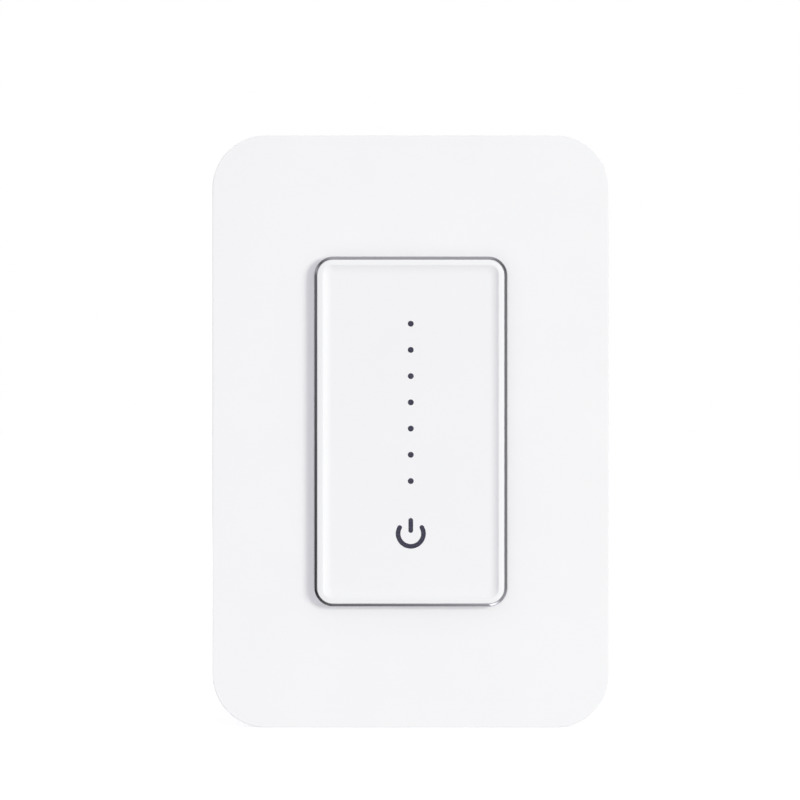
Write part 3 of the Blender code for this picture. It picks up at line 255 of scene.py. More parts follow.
metals = {  # the same up to the grain's depth, then how metallic
    "chrome": ("bezelChrome", (0.80, 0.80, 0.82), 0.04, 0.10, 0.03, 0.6, 0.0008, 1.0),
    "zinc": ("screwZinc", (0.66, 0.66, 0.63), 0.12, 0.30, 0.07, 0.15, 0.004, 0.8),
    "brass": ("terminalBrass", (0.80, 0.58, 0.25), 0.16, 0.30, 0.08, 0.2, 0.005, 0.7),
    "green_metal": ("groundGreen", (0.06, 0.40, 0.16), 0.20, 0.30, 0.06, 0.2, 0.004, 0.6),
    "copper": ("sensorCopper", (0.84, 0.47, 0.31), 0.12, 0.32, 0.08, 0.2, 0.003, 1.0),
}
finishes = {slot: mouldedPlastic(*values) for slot, values in plastics.items()}
finishes |= {slot: platedMetal(*values) for slot, values in metals.items()}
finishes["strap_metal"] = spangledZinc("strapZinc", zincSheet)
finishes["board_green"] = circuitBoard("boardGreen", boardFace)
finishes["smoked_lens"] = darkLens("smokedLens", smokedLens)
for node in nodes.values():  # every CAD node keeps its slot and gets that slot's finish
    slot = node.material_slots[0]
    slot.material = finishes[slot.material.name.split(".")[0]]
print("finishes:", len(finishes))


# mesh helpers

def smoothByAngle():
    tree = bpy.data.node_groups.new("smoothByAngle", "GeometryNodeTree")
    tree.interface.new_socket("Geometry", in_out="INPUT", socket_type="NodeSocketGeometry")
    tree.interface.new_socket("Angle", in_out="INPUT", socket_type="NodeSocketFloat")
    tree.interface.new_socket("Geometry", in_out="OUTPUT", socket_type="NodeSocketGeometry")
    start, end = tree.nodes.new("NodeGroupInput"), tree.nodes.new("NodeGroupOutput")
    faces = tree.nodes.new("GeometryNodeSetShadeSmooth")
    edges = tree.nodes.new("GeometryNodeSetShadeSmooth")
    edges.domain = "EDGE"
    edges.inputs["Shade Smooth"].default_value = False
    bend = tree.nodes.new("GeometryNodeInputMeshEdgeAngle")
    steep = tree.nodes.new("FunctionNodeCompare")
    steep.operation = "GREATER_THAN"
    tree.links.new(bend.outputs["Unsigned Angle"], steep.inputs[0])
    tree.links.new(start.outputs["Angle"], steep.inputs[1])
    tree.links.new(start.outputs["Geometry"], faces.inputs["Geometry"])
    tree.links.new(faces.outputs["Geometry"], edges.inputs["Geometry"])
    tree.links.new(steep.outputs["Result"], edges.inputs["Selection"])
    tree.links.new(edges.outputs["Geometry"], end.inputs["Geometry"])
    return tree


shading = smoothByAngle()


def setInputs(modifier, tree, values):
    modifier.node_group = tree
    for item in tree.interface.items_tree:
        if item.in_out == "INPUT" and item.name in values:
            modifier[item.identifier] = values[item.name]


def settle(obj, capped=False):  # turns a piece's modifiers into a plain mesh
    bpy.context.view_layer.update()
    mesh = bpy.data.meshes.new_from_object(obj.evaluated_get(bpy.context.evaluated_depsgraph_get()))
    old = obj.data
    obj.modifiers.clear()
    obj.data = mesh
    mesh.name = obj.name
    bpy.data.meshes.remove(old)
    if capped:
        bm = bmesh.new()
        bm.from_mesh(mesh)
        bmesh.ops.holes_fill(bm, edges=[e for e in bm.edges if e.is_boundary], sides=0)
        bmesh.ops.recalc_face_normals(bm, faces=bm.faces)
        bm.to_mesh(mesh)
        bm.free()
    return obj


def freeze(obj, body, slot, *replaced, weld=2e-7):  # finishes a piece and hands it to the frame
    mesh = settle(obj).data
    bm = bmesh.new()
    bm.from_mesh(mesh)
    bmesh.ops.remove_doubles(bm, verts=bm.verts, dist=weld)
    bmesh.ops.dissolve_degenerate(bm, edges=bm.edges, dist=weld / 2)
    bmesh.ops.recalc_face_normals(bm, faces=bm.faces)
    for face in bm.faces:
        face.smooth = True
    for edge in bm.edges:
        edge.smooth = edge.calc_face_angle(0.0) < radians(smoothAngle)
    bm.to_mesh(mesh)
    bm.free()
    mesh.materials.clear()
    mesh.materials.append(finishes[slot])
    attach(obj, body)
    if replaced:
        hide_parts(*replaced)
    print("piece", obj.name, len(mesh.polygons), "faces")


def addObject(name, data):
    obj = bpy.data.objects.new(name, data)
    bpy.context.scene.collection.objects.link(obj)
    return obj


def addMesh(name, bm):
    mesh = bpy.data.meshes.new(name)
    bmesh.ops.recalc_face_normals(bm, faces=bm.faces)
    bm.to_mesh(mesh)
    bm.free()
    return addObject(name, mesh)


def soften(obj, width, segments, angle):  # breaks the edges that bend further than the angle, in degrees
    soft = obj.modifiers.new("Soft", "BEVEL")
    soft.width, soft.segments = width, segments
    soft.limit_method, soft.angle_limit = "ANGLE", radians(angle)


def arc(cx, cz, radius, start, end, steps):
    angles = [start + (end - start) * i / steps for i in range(steps + 1)]
    return [(cx + radius * cos(a), cz + radius * sin(a)) for a in angles]


def circle(cx, cz, radius, steps=32):
    return arc(cx, cz, radius, 0.0, 2 * pi, steps)[:-1]


def rounding(inset, y, radius, start, end, steps):  # (inset, depth) points of a rounded edge, in degrees
    return arc(inset, y, radius, radians(start), radians(end), steps)


def roundedCorners(corners, radius, steps=6):  # an outline of square corners, each one rounded
    points = []
    for i, corner in enumerate(corners):
        here, before, after = (Vector(corners[k % len(corners)]) for k in (i, i - 1, i + 1))
        a, b = (before - here).normalized() * radius, (after - here).normalized() * radius
        turns = [pi / 2 * k / steps for k in range(steps + 1)]
        points += [here + a + b - b * cos(turn) - a * sin(turn) for turn in turns]
    return [tuple(point) for point in points]


def rectangle(a0, a1, b0, b1):
    return [(a0, b0), (a1, b0), (a1, b1), (a0, b1)]


def joinRings(name, rings):  # a closed solid from rings of points, near to far
    bm = bmesh.new()
    rings = [[bm.verts.new(point) for point in ring] for ring in rings]
    bm.faces.new(rings[0])
    bm.faces.new(rings[-1][::-1])
    for near, far in zip(rings, rings[1:]):
        for i in range(len(near)):
            bm.faces.new((near[i - 1], near[i], far[i], far[i - 1]))
    return addMesh(name, bm)


def prism(name, outline, start, end, axis="Y"):  # a flat outline square to an axis, solid between two places
    spots = {"X": lambda a, b, s: (s, a, b), "Y": lambda a, b, s: (a, s, b), "Z": lambda a, b, s: (a, b, s)}
    return joinRings(name, [[spots[axis](a, b, s) for a, b in outline] for s in (start, end)])


def brick(name, low, high):
    (x0, y0, z0), (x1, y1, z1) = low, high
    return prism(name, rectangle(x0, x1, z0, z1), y0, y1)


def post(name, x, z, rows, steps=32):  # a round solid about an axis along Y, from (radius, y) rows
    return joinRings(name, [[(px, y, pz) for px, pz in circle(x, z, radius, steps)] for radius, y in rows])


def between(side, inner, outer):  # a span measured from the middle, on the right (1) or the left (-1)
    return (inner, outer) if side > 0 else (-outer, -inner)


def boolean(obj, tools, operation="DIFFERENCE"):
    for tool in tools:
        modifier = obj.modifiers.new(tool.name, "BOOLEAN")
        modifier.operation = operation
        modifier.object = tool
        modifier.solver = "EXACT"


def discard(tools):
    for tool in tools:
        bpy.data.objects.remove(tool, do_unlink=True)


def gather(first, *others):  # takes the meshes of others into the first
    bm = bmesh.new()
    for source in (first, *others):
        bm.from_mesh(source.data)
    bm.to_mesh(first.data)
    bm.free()
    discard(others)
    return first


# node trees that wrap a grid round a profile: each point of the profile becomes one ring

def wrapGrid(tree, given, around):  # the grid, its column and row numbers and the profile's point for the row
    link = tree.links.new
    size = tree.nodes.new("GeometryNodeAttributeDomainSize")
    link(given["Geometry"], size.inputs["Geometry"])
    rows = size.outputs["Point Count"]
    grid = tree.nodes.new("GeometryNodeMeshGrid")
    link(maths(tree, "ADD", around, 1.0), grid.inputs["Vertices X"])
    link(rows, grid.inputs["Vertices Y"])
    link(around, grid.inputs["Size X"])
    last = maths(tree, "SUBTRACT", rows, 1.0)
    link(last, grid.inputs["Size Y"])
    here = tree.nodes.new("ShaderNodeSeparateXYZ")
    link(tree.nodes.new("GeometryNodeInputPosition").outputs[0], here.inputs[0])
    column = maths(tree, "ADD", here.outputs["X"], maths(tree, "MULTIPLY", around, 0.5))
    column = maths(tree, "MODULO", maths(tree, "ROUND", column), around)
    row = maths(tree, "ROUND", maths(tree, "ADD", here.outputs["Y"], maths(tree, "MULTIPLY", last, 0.5)))
    place = tree.nodes.new("GeometryNodeSampleIndex")
    place.data_type = "FLOAT_VECTOR"
    link(given["Geometry"], place.inputs["Geometry"])
    link(tree.nodes.new("GeometryNodeInputPosition").outputs[0], place.inputs["Value"])
    link(row, place.inputs["Index"])
    point = tree.nodes.new("ShaderNodeSeparateXYZ")
    link(place.outputs["Value"], point.inputs[0])
    return grid.outputs["Mesh"], column, row, point.outputs


def placeGrid(tree, given, grid, x, y, z, seam=5e-7):
    spot, move = tree.nodes.new("ShaderNodeCombineXYZ"), tree.nodes.new("GeometryNodeSetPosition")
    for axis, source in zip("XYZ", (x, y, z)):
        tree.links.new(source, spot.inputs[axis])
    tree.links.new(grid, move.inputs["Geometry"])
    tree.links.new(spot.outputs["Vector"], move.inputs["Position"])
    merge = tree.nodes.new("GeometryNodeMergeByDistance")
    merge.inputs["Distance"].default_value = seam
    tree.links.new(move.outputs["Geometry"], merge.inputs["Geometry"])
    return closeTree(tree, given, merge.outputs["Geometry"])


def framedSkin():  # rings that are rounded rectangles about Y
    tree, given = newTree("framedSkin", ("Corner Steps", "Int"))
    side = maths(tree, "ADD", given["Corner Steps"], 1.0)
    grid, column, row, point = wrapGrid(tree, given, maths(tree, "MULTIPLY", side, 4.0))
    corner = maths(tree, "FLOOR", maths(tree, "DIVIDE", maths(tree, "ADD", column, 0.01), side))
    step = maths(tree, "SUBTRACT", column, maths(tree, "MULTIPLY", corner, side))
    share = maths(tree, "DIVIDE", step, given["Corner Steps"])
    angle = maths(tree, "MULTIPLY", maths(tree, "ADD", corner, share), pi / 2)
    middle = maths(tree, "MULTIPLY", maths(tree, "ADD", corner, 0.5), pi / 2)
    bend, named = tree.nodes.new("GeometryNodeSampleIndex"), tree.nodes.new("GeometryNodeInputNamedAttribute")
    bend.data_type = named.data_type = "FLOAT"
    named.inputs["Name"].default_value = "corner"
    tree.links.new(given["Geometry"], bend.inputs["Geometry"])
    tree.links.new(named.outputs["Attribute"], bend.inputs["Value"])
    tree.links.new(row, bend.inputs["Index"])
    radius = bend.outputs["Value"]

    def reach(extent, turn):  # from the corner's centre out along one axis
        sign = maths(tree, "SIGN", maths(tree, turn, middle))
        centre = maths(tree, "MULTIPLY", sign, maths(tree, "SUBTRACT", extent, radius))
        return maths(tree, "ADD", centre, maths(tree, "MULTIPLY", radius, maths(tree, turn, angle)))

    return placeGrid(tree, given, grid, reach(point["X"], "COSINE"), point["Y"], reach(point["Z"], "SINE"))


def turnedSkin():  # round rings about Y; the profile's X is the radius, its Z how far the thread stands out
    tree, given = newTree("turnedSkin", ("Around", "Int"), ("Pitch", "Float"))
    grid, column, row, point = wrapGrid(tree, given, given["Around"])
    turn = maths(tree, "DIVIDE", column, given["Around"])
    wind = maths(tree, "ADD", maths(tree, "DIVIDE", point["Y"], given["Pitch"]), turn)
    wave = maths(tree, "COSINE", maths(tree, "MULTIPLY", wind, 2 * pi))
    crest = maths(tree, "MULTIPLY", maths(tree, "ADD", wave, 1.0), 0.5)
    radius = maths(tree, "ADD", point["X"], maths(tree, "MULTIPLY", crest, point["Z"]))
    angle = maths(tree, "MULTIPLY", turn, 2 * pi)
    x, z = (maths(tree, "MULTIPLY", radius, maths(tree, part, angle)) for part in ("COSINE", "SINE"))
    return placeGrid(tree, given, grid, x, point["Y"], z)


def rowOf():  # what comes in, repeated along a line
    tree, given = newTree("rowOf", ("Count", "Int"), ("Step", "Vector"))
    line, spread = tree.nodes.new("GeometryNodeMeshLine"), tree.nodes.new("GeometryNodeInstanceOnPoints")
    tree.links.new(given["Count"], line.inputs["Count"])
    tree.links.new(given["Step"], line.inputs["Offset"])
    tree.links.new(line.outputs["Mesh"], spread.inputs["Points"])
    tree.links.new(given["Geometry"], spread.inputs["Instance"])
    return closeTree(tree, given, spread.outputs["Instances"])


skinTree, turnTree, rowTree = framedSkin(), turnedSkin(), rowOf()


def skin(name, profile, slot, steps):  # profile: (half width, half height, corner, depth), outside first
    mesh = bpy.data.meshes.new(name)
    mesh.from_pydata([(w, y, h) for w, h, _, y in profile], [], [])
    corners = mesh.attributes.new("corner", "FLOAT", "POINT")
    corners.data.foreach_set("value", [c for _, _, c, _ in profile])
    obj = addObject(name, mesh)
    values = {"Corner Steps": steps, "Finish": finishes[slot]}
    setInputs(obj.modifiers.new("Skin", "NODES"), skinTree, values)
    return obj


def turned(name, profile, slot, pitch, around):  # profile: (radius, depth, thread), from the front back
    mesh = bpy.data.meshes.new(name)
    mesh.from_pydata(profile, [], [])
    obj = addObject(name, mesh)
    values = {"Around": around, "Pitch": pitch, "Finish": finishes[slot]}
    setInputs(obj.modifiers.new("Turn", "NODES"), turnTree, values)
    return obj


def repeat(obj, count, step, slot):
    values = {"Count": count, "Step": step, "Finish": finishes[slot]}
    setInputs(obj.modifiers.new("Row", "NODES"), rowTree, values)
    return settle(obj)


# face plate

plateLow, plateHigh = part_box("wall_plate")
bezelLow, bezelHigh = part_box("bezel_ring")
wallPlate = {
    "corner": 10.8 * mm, "cornerSteps": 16, "edgeRound": 0.16 * mm, "face": 2.0 * mm, "skirt": 2.2 * mm,
    "windowGap": 0.04 * mm, "windowCorner": 3.94 * mm, "windowEdge": 0.06 * mm,
    "ribWidth": 1.2 * mm, "ribDepth": 0.7 * mm, "insideRound": 0.5 * mm, "rimRound": 0.12 * mm,
    "ribCount": 4, "ribPitch": 14.0 * mm, "ribHalf": 0.4 * mm, "ribRise": 0.6 * mm,
    "notchWidth": 8.0 * mm, "notchDepth": 1.3 * mm, "notchReach": 10.0 * mm,
    "grooveZ": 41.525 * mm, "grooveLength": 4.8 * mm, "grooveDepth": 0.4 * mm,
    "grooveY": (-3.4 * mm, -1.6 * mm),
}


def makeWallPlate(p):
    halfW, halfH, front, back = plateHigh.x, plateHigh.z, plateLow.y, plateHigh.y
    inner = front + p["face"]
    cavityW, cavityH, cavityCorner = halfW - p["skirt"], halfH - p["skirt"], p["corner"] - p["skirt"]
    windowW, windowH = bezelHigh.x + p["windowGap"], bezelHigh.z + p["windowGap"]
    rows = []

    def outer(points):
        rows.extend((halfW - i, halfH - i, p["corner"] - i, y) for i, y in points)

    def window(points):
        rows.extend((windowW + i, windowH + i, p["windowCorner"] + i, y) for i, y in points)

    def cavity(points):
        rows.extend((cavityW - i, cavityH - i, cavityCorner - i, y) for i, y in points)

    edge, rim = p["edgeRound"], p["rimRound"]
    outer([(rim, back), (0.0, back - rim), (0.0, front + edge + holdLoop)])
    outer(rounding(edge, front + edge, edge, 180, 270, 8))
    outer([(edge + holdLoop, front)])
    edge = p["windowEdge"]
    nearly = edge * 0.3  # the middle of the three points that round this small edge
    window([(edge + holdLoop, front), (edge, front), (nearly, front + nearly), (0.0, front + edge)])
    ribBack = inner + p["ribDepth"]
    window([(0.0, ribBack - edge), (edge, ribBack), (p["ribWidth"] - edge, ribBack)])
    window([(p["ribWidth"], ribBack - edge), (p["ribWidth"], inner)])
    edge = p["insideRound"]
    cavity([(edge + holdLoop, inner)] + rounding(edge, inner + edge, edge, 270, 180, 4))
    cavity([(0.0, back - rim), (-rim, back)])
    rows.append(rows[0])
    plate = skin("facePlate", rows, "white_satin", p["cornerSteps"])

    ribs = []
    for up in (-1, 1):  # stiffening ribs above and below the window
        z0, z1 = between(up, windowH + p["ribWidth"] / 2, cavityH + p["skirt"] / 2)
        x = -p["ribPitch"] * (p["ribCount"] - 1) / 2
        low, high = (x - p["ribHalf"], inner - p["face"] / 2, z0), (x + p["ribHalf"], inner + p["ribRise"], z1)
        ribs.append(repeat(brick("ribs", low, high), p["ribCount"], (p["ribPitch"], 0.0, 0.0), "white_satin"))
    ribs = gather(*ribs)
    boolean(plate, [ribs], "UNION")
    settle(plate)
    discard([ribs])

    half, far = p["notchWidth"] / 2, p["notchReach"]
    low, high = (-half, back - p["notchDepth"], -halfH - far), (half, back + far, -cavityH + far)
    tools = [brick("pryNotch", low, high)]
    reach, (y0, y1) = p["grooveLength"] / 2, p["grooveY"]
    for side in (-1, 1):
        for up in (-1, 1):
            x, z = side * cavityW, up * p["grooveZ"]
            low, high = (x - p["grooveDepth"], y0, z - reach), (x + p["grooveDepth"], y1, z + reach)
            tools.append(brick(f"clickGroove{side}{up}", low, high))
    boolean(plate, tools)
    freeze(plate, "face_plate", "white_satin", "wall_plate")
    discard(tools)


makeWallPlate(wallPlate)


# bezel

bezel = {
    "corner": 3.9 * mm, "cornerSteps": 16, "wall": 0.6 * mm,
    "chamferWidth": 0.56 * mm, "chamferDepth": 0.40 * mm,
    "outerRound": 0.34 * mm, "frontRound": 0.03 * mm, "innerRound": 0.02 * mm,
}


def makeBezel(p):
    halfW, halfH, front, back = bezelHigh.x, bezelHigh.z, bezelLow.y, bezelHigh.y
    width, depth, outer, near = p["chamferWidth"], p["chamferDepth"], p["outerRound"], p["frontRound"]
    inner, wall = p["innerRound"], p["wall"]
    facingOut = atan2(width, depth)  # from the bezel's side to the way the chamfer faces
    low = front + depth + outer * tan(facingOut / 2)  # where each rounding beside the chamfer starts
    high = width + near * tan((pi / 2 - facingOut) / 2)
    middle = 180 + degrees(facingOut)
    points = [(0.0, back)] + rounding(outer, low, outer, 180, middle, 4)
    points += rounding(high, front + near, near, middle, 270, 3)
    points += rounding(wall - inner, front + inner, inner, 270, 360, 3)
    points += [(wall, back), (0.0, back)]
    rows = [(halfW - i, halfH - i, p["corner"] - i, y) for i, y in points]
    freeze(skin("chromeBezel", rows, "chrome", p["cornerSteps"]), "switch_body", "chrome", "bezel_ring")


makeBezel(bezel)


# touch panel with its openings, and the lenses in them

panelLow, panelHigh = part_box("touch_panel")
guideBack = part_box("light_guide")[1].y
touchPanel = {
    "swell": 0.02 * mm, "corner": 3.22 * mm, "cornerSteps": 16, "edgeRound": 0.10 * mm, "edgeTurn": 258,
    "rim": 1.17 * mm, "rimDrop": 0.14 * mm, "rimRows": 8,
    "slope": 1.7 * mm, "dish": 0.6 * mm, "slopeRows": 20, "slopeCorner": 1.8 * mm, "floorCorner": 0.8 * mm,
    "dotCount": 7, "dotTop": 21.93 * mm, "dotPitch": 5.33 * mm, "dotSize": 1.12 * mm,
    "iconZ": -20.75 * mm, "iconRadius": 2.58 * mm, "iconStroke": 0.87 * mm, "iconOpening": 61.0,
    "barRise": 3.15 * mm, "barLength": 2.96 * mm, "lensGap": 0.04 * mm,
    "guideWidth": 3.6 * mm, "guideHead": 3.4 * mm, "guideGap": 0.1 * mm, "lensRoot": 0.2 * mm,
}


def powerSymbol(p, grow):  # the open ring and the bar as two outlines
    half, opening, z = p["iconStroke"] / 2 + grow, radians(p["iconOpening"]), p["iconZ"]
    start, end = pi / 2 + opening, 5 * pi / 2 - opening
    (x0, z0), (x1, z1) = arc(0.0, z, p["iconRadius"], start, end, 1)
    ring = arc(0.0, z, p["iconRadius"] + half, start, end, 48)
    ring += arc(x1, z1, half, end, end + pi, 10)[1:-1]
    ring += arc(0.0, z, p["iconRadius"] - half, end, start, 48)
    ring += arc(x0, z0, half, start + pi, start + 2 * pi, 10)[1:-1]
    top = z + p["barRise"] - p["iconStroke"] / 2
    bottom = z + p["barRise"] - p["barLength"] + p["iconStroke"] / 2
    bar = arc(0.0, top, half, 0.0, pi, 12) + arc(0.0, bottom, half, pi, 2 * pi, 12)
    return ring, bar


def dotRow(name, p, grow, front, back):
    dot = prism(name, circle(0.0, p["dotTop"], p["dotSize"] / 2 + grow), front, back)
    return repeat(dot, p["dotCount"], (0.0, 0.0, -p["dotPitch"]), "smoked_lens")


def makePanel(p):
    halfW, halfH, front, back = panelHigh.x + p["swell"], panelHigh.z + p["swell"], panelLow.y, panelHigh.y
    edge, rim, drop, slope = p["edgeRound"], p["rim"], p["rimDrop"], p["slope"]
    rows = [(halfW, halfH, p["corner"], back)]
    points = [(0.0, front + drop + edge + holdLoop / 2)]
    points += rounding(edge, front + drop + edge, edge, 180, p["edgeTurn"], 6)
    for i in range(p["rimRows"] + 1):  # the rim rolls over towards its outside
        share = i / p["rimRows"]
        points.append((edge + (rim - edge) * share, front + drop * (1 - share) ** 2))
    for i, y in points:
        rows.append((halfW - i, halfH - i, p["corner"] + (p["slopeCorner"] - p["corner"]) * i / rim, y))
    for i in range(1, p["slopeRows"] + 1):  # the dish falls steeply from the rim and levels out at its floor
        share = i / p["slopeRows"]
        inset = rim + slope * share
        corner = p["slopeCorner"] + (p["floorCorner"] - p["slopeCorner"]) * share
        rows.append((halfW - inset, halfH - inset, corner, front + p["dish"] * (1 - (1 - share) ** 2)))
    inset = rim + slope + 3 * holdLoop
    rows += [(halfW - inset, halfH - inset, p["floorCorner"], front + p["dish"])]
    panel = settle(skin("dishedPanel", rows, "white_gloss", p["cornerSteps"]), capped=True)
    near, far = front - mm, back + mm
    tools = [dotRow("dotHoles", p, p["lensGap"], near, far)]
    tools += [prism("iconHole", outline, near, far) for outline in powerSymbol(p, p["lensGap"])]
    boolean(panel, tools)
    freeze(panel, "switch_body", "white_gloss", "touch_panel")
    discard(tools)


def makeLenses(p):
    face = panelLow.y + p["dish"] + p["lensGap"] / 2
    half, head = p["guideWidth"] / 2, p["guideHead"]
    lean = atan2((head**2 - half**2) ** 0.5, half)
    outline = arc(0.0, p["iconZ"], head, pi - lean, 2 * pi + lean, 40)
    outline += arc(0.0, p["dotTop"] + half, half, 0.0, pi, 16)
    front = panelHigh.y + p["guideGap"]
    root = front + p["lensRoot"]
    guide = prism("lightGuide", outline, front, guideBack)
    lenses = [prism("iconLens", shape, face, root) for shape in powerSymbol(p, 0.0)]
    gather(guide, *lenses, dotRow("dotLenses", p, 0.0, face, root))
    freeze(guide, "switch_body", "smoked_lens", "light_guide")


makePanel(touchPanel)
makeLenses(touchPanel)


# rear housing

terminals = ((1, 14.0 * mm), (1, -14.0 * mm), (-1, 14.0 * mm))  # side and height of the line, load and neutral
bossPlaces = [(x * 14.8 * mm, z * 30.4 * mm) for x in (-1, 1) for z in (-1, 1)]
housing = {
    "corner": 3.0 * mm, "leastCorner": 0.4 * mm, "cornerSteps": 8, "wall": 1.8 * mm, "draft": 0.5 * mm,
    "edge": 0.8 * mm, "rim": 0.15 * mm, "inner": 28.1 * mm, "root": 29.1 * mm, "innerRound": 1.0 * mm,
    "boss": 3.0 * mm, "bore": 1.3 * mm, "sink": 2.5 * mm, "sinkY": 28.4 * mm, "sinkLip": 0.15 * mm,
    "postX": 14.95 * mm, "postZ": 25.35 * mm, "postHalf": 1.4 * mm, "postY": 10.7 * mm,
    "pocketFloor": 16.0 * mm, "pocketFront": 15.9 * mm, "pocketHalf": 5.6 * mm, "pocketRound": 0.6 * mm,
    "tail": (15.9 * mm, 17.5 * mm), "tailHalf": 1.7 * mm, "screwY": 22.0 * mm, "screwRadius": 2.0 * mm,
    "wireX": 18.7 * mm, "wireStep": 3.3 * mm, "wireRadius": 1.4 * mm, "wireMouth": 0.45 * mm,
    "wireDepth": 2.0 * mm,
    "ventCount": 5, "ventPitch": 4.0 * mm, "ventHalf": 0.75 * mm, "ventY": (15.9 * mm, 25.9 * mm),
}


def makeHousing(p):
    low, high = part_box("rear_housing")
    halfW, halfH, front, back = high.x, high.z, low.y, high.y
    wall, draft, edge, rim, inner, root = p["wall"], p["draft"], p["edge"], p["rim"], p["inner"], p["root"]
    pocket, pocketFront = p["pocketFloor"], p["pocketFront"]
    fillet = wall + draft + p["innerRound"]
    points = [(fillet + holdLoop, inner)]
    points += rounding(fillet, inner - p["innerRound"], p["innerRound"], 90, 180, 5)
    points += [(wall, front + rim), (wall - rim, front), (rim, front), (0.0, front + rim)]
    points += rounding(draft + edge, back - edge, edge, 180, 90, 8) + [(draft + edge + holdLoop, back)]
    rows = [(halfW - i, halfH - i, max(p["corner"] - i, p["leastCorner"]), y) for i, y in points]
    body = settle(skin("rearHousing", rows, "housing_black", p["cornerSteps"]), capped=True)

    half = p["postHalf"]
    solids = [post("boss", x, z, [(p["boss"], front), (p["boss"], root)]) for x, z in bossPlaces]
    for x in (-p["postX"], p["postX"]):
        for z in (-p["postZ"], p["postZ"]):
            solids.append(brick("boardPost", (x - half, p["postY"], z - half), (x + half, root, z + half)))
    reach = p["pocketHalf"] + wall
    for side, z in terminals:
        x0, x1 = between(side, pocket - wall, halfW - wall / 2 - draft)
        solids.append(brick("pocketWall", (x0, pocketFront - wall, z - reach), (x1, root, z + reach)))
    solid = gather(*solids)
    boolean(body, [solid], "UNION")

    bore, sink, lip = p["bore"], p["sink"], p["sinkLip"]
    rows = [(bore, front - wall), (bore, back + wall)]
    pockets = [post("bore", x, z, rows, 24) for x, z in bossPlaces]
    rows = [(sink, p["sinkY"]), (sink, back - lip), (sink + 2 * lip, back + lip)]
    tails = [post("sink", x, z, rows) for x, z in bossPlaces]
    radius, mouth = p["wireRadius"], p["wireMouth"]
    wireRows = [(radius, inner - p["wireDepth"]), (radius, back - mouth), (radius + 2 * mouth, back + mouth)]
    ways = []
    reach = p["tailHalf"]
    for side, z in terminals:
        x0, x1 = between(side, pocket, halfW + wall)
        outline = rectangle(pocketFront, inner, z - p["pocketHalf"], z + p["pocketHalf"])
        pockets.append(prism("pocket", roundedCorners(outline, p["pocketRound"]), x0, x1, "X"))
        x0, x1 = between(side, *p["tail"])
        low, high = (x0, pocketFront - 2 * wall, z - reach), (x1, pocketFront + wall, z + reach)
        tails.append(brick("tailSlot", low, high))
        for step in (-p["wireStep"], p["wireStep"]):
            tails.append(post("wireHole", side * p["wireX"], z + step, wireRows))
        x0, x1 = between(side, pocket - 2 * wall, pocket + wall)
        ways.append(prism("screwWay", circle(p["screwY"], z, p["screwRadius"], 28), x0, x1, "X"))
    x, half, (y0, y1) = -p["ventPitch"] * (p["ventCount"] - 1) / 2, p["ventHalf"], p["ventY"]
    slot = arc(x, y1 - half, half, 0.0, pi, 10) + arc(x, y0 + half, half, pi, 2 * pi, 10)
    for side in (-1, 1):
        vent = prism("vents", slot, *between(side, halfH - 2 * wall, halfH + wall), "Z")
        pockets.append(repeat(vent, p["ventCount"], (p["ventPitch"], 0.0, 0.0), "housing_black"))
    groups = [gather(*group) for group in (pockets, tails, ways)]
    boolean(body, groups)
    freeze(body, "switch_body", "housing_black", "rear_housing")
    discard([solid, *groups])


makeHousing(housing)


# mounting strap with its earth tab

strap = {
    "outline": ((22.0, 37.0), (12.7, 37.0), (12.7, 44.3), (20.5, 44.3), (20.5, 52.5)),  # a quarter of it, in mm
    "round": 1.5 * mm, "edge": 0.14 * mm, "edgeSteps": 3, "edgeAngle": 50.0, "thick": 1.5 * mm,
    "slotZ": 41.67 * mm, "slotLength": 6.8 * mm, "slotHalf": 2.0 * mm,
    "plateHoleZ": 48.4 * mm, "plateHole": 1.7 * mm,
    "window": (-10.5 * mm, 10.5 * mm, 5.75 * mm, 26.75 * mm), "windowRound": 1.0 * mm,
    "bore": 1.3 * mm, "deviceZ": -10.85 * mm, "deviceBore": 1.5 * mm,
    "tabX": -12.4 * mm, "tabY": 9.8 * mm, "tabZ": -40.4 * mm, "tabHalf": 3.1 * mm,
    "tabHoleY": 6.1 * mm, "tabHole": 1.8 * mm,
}


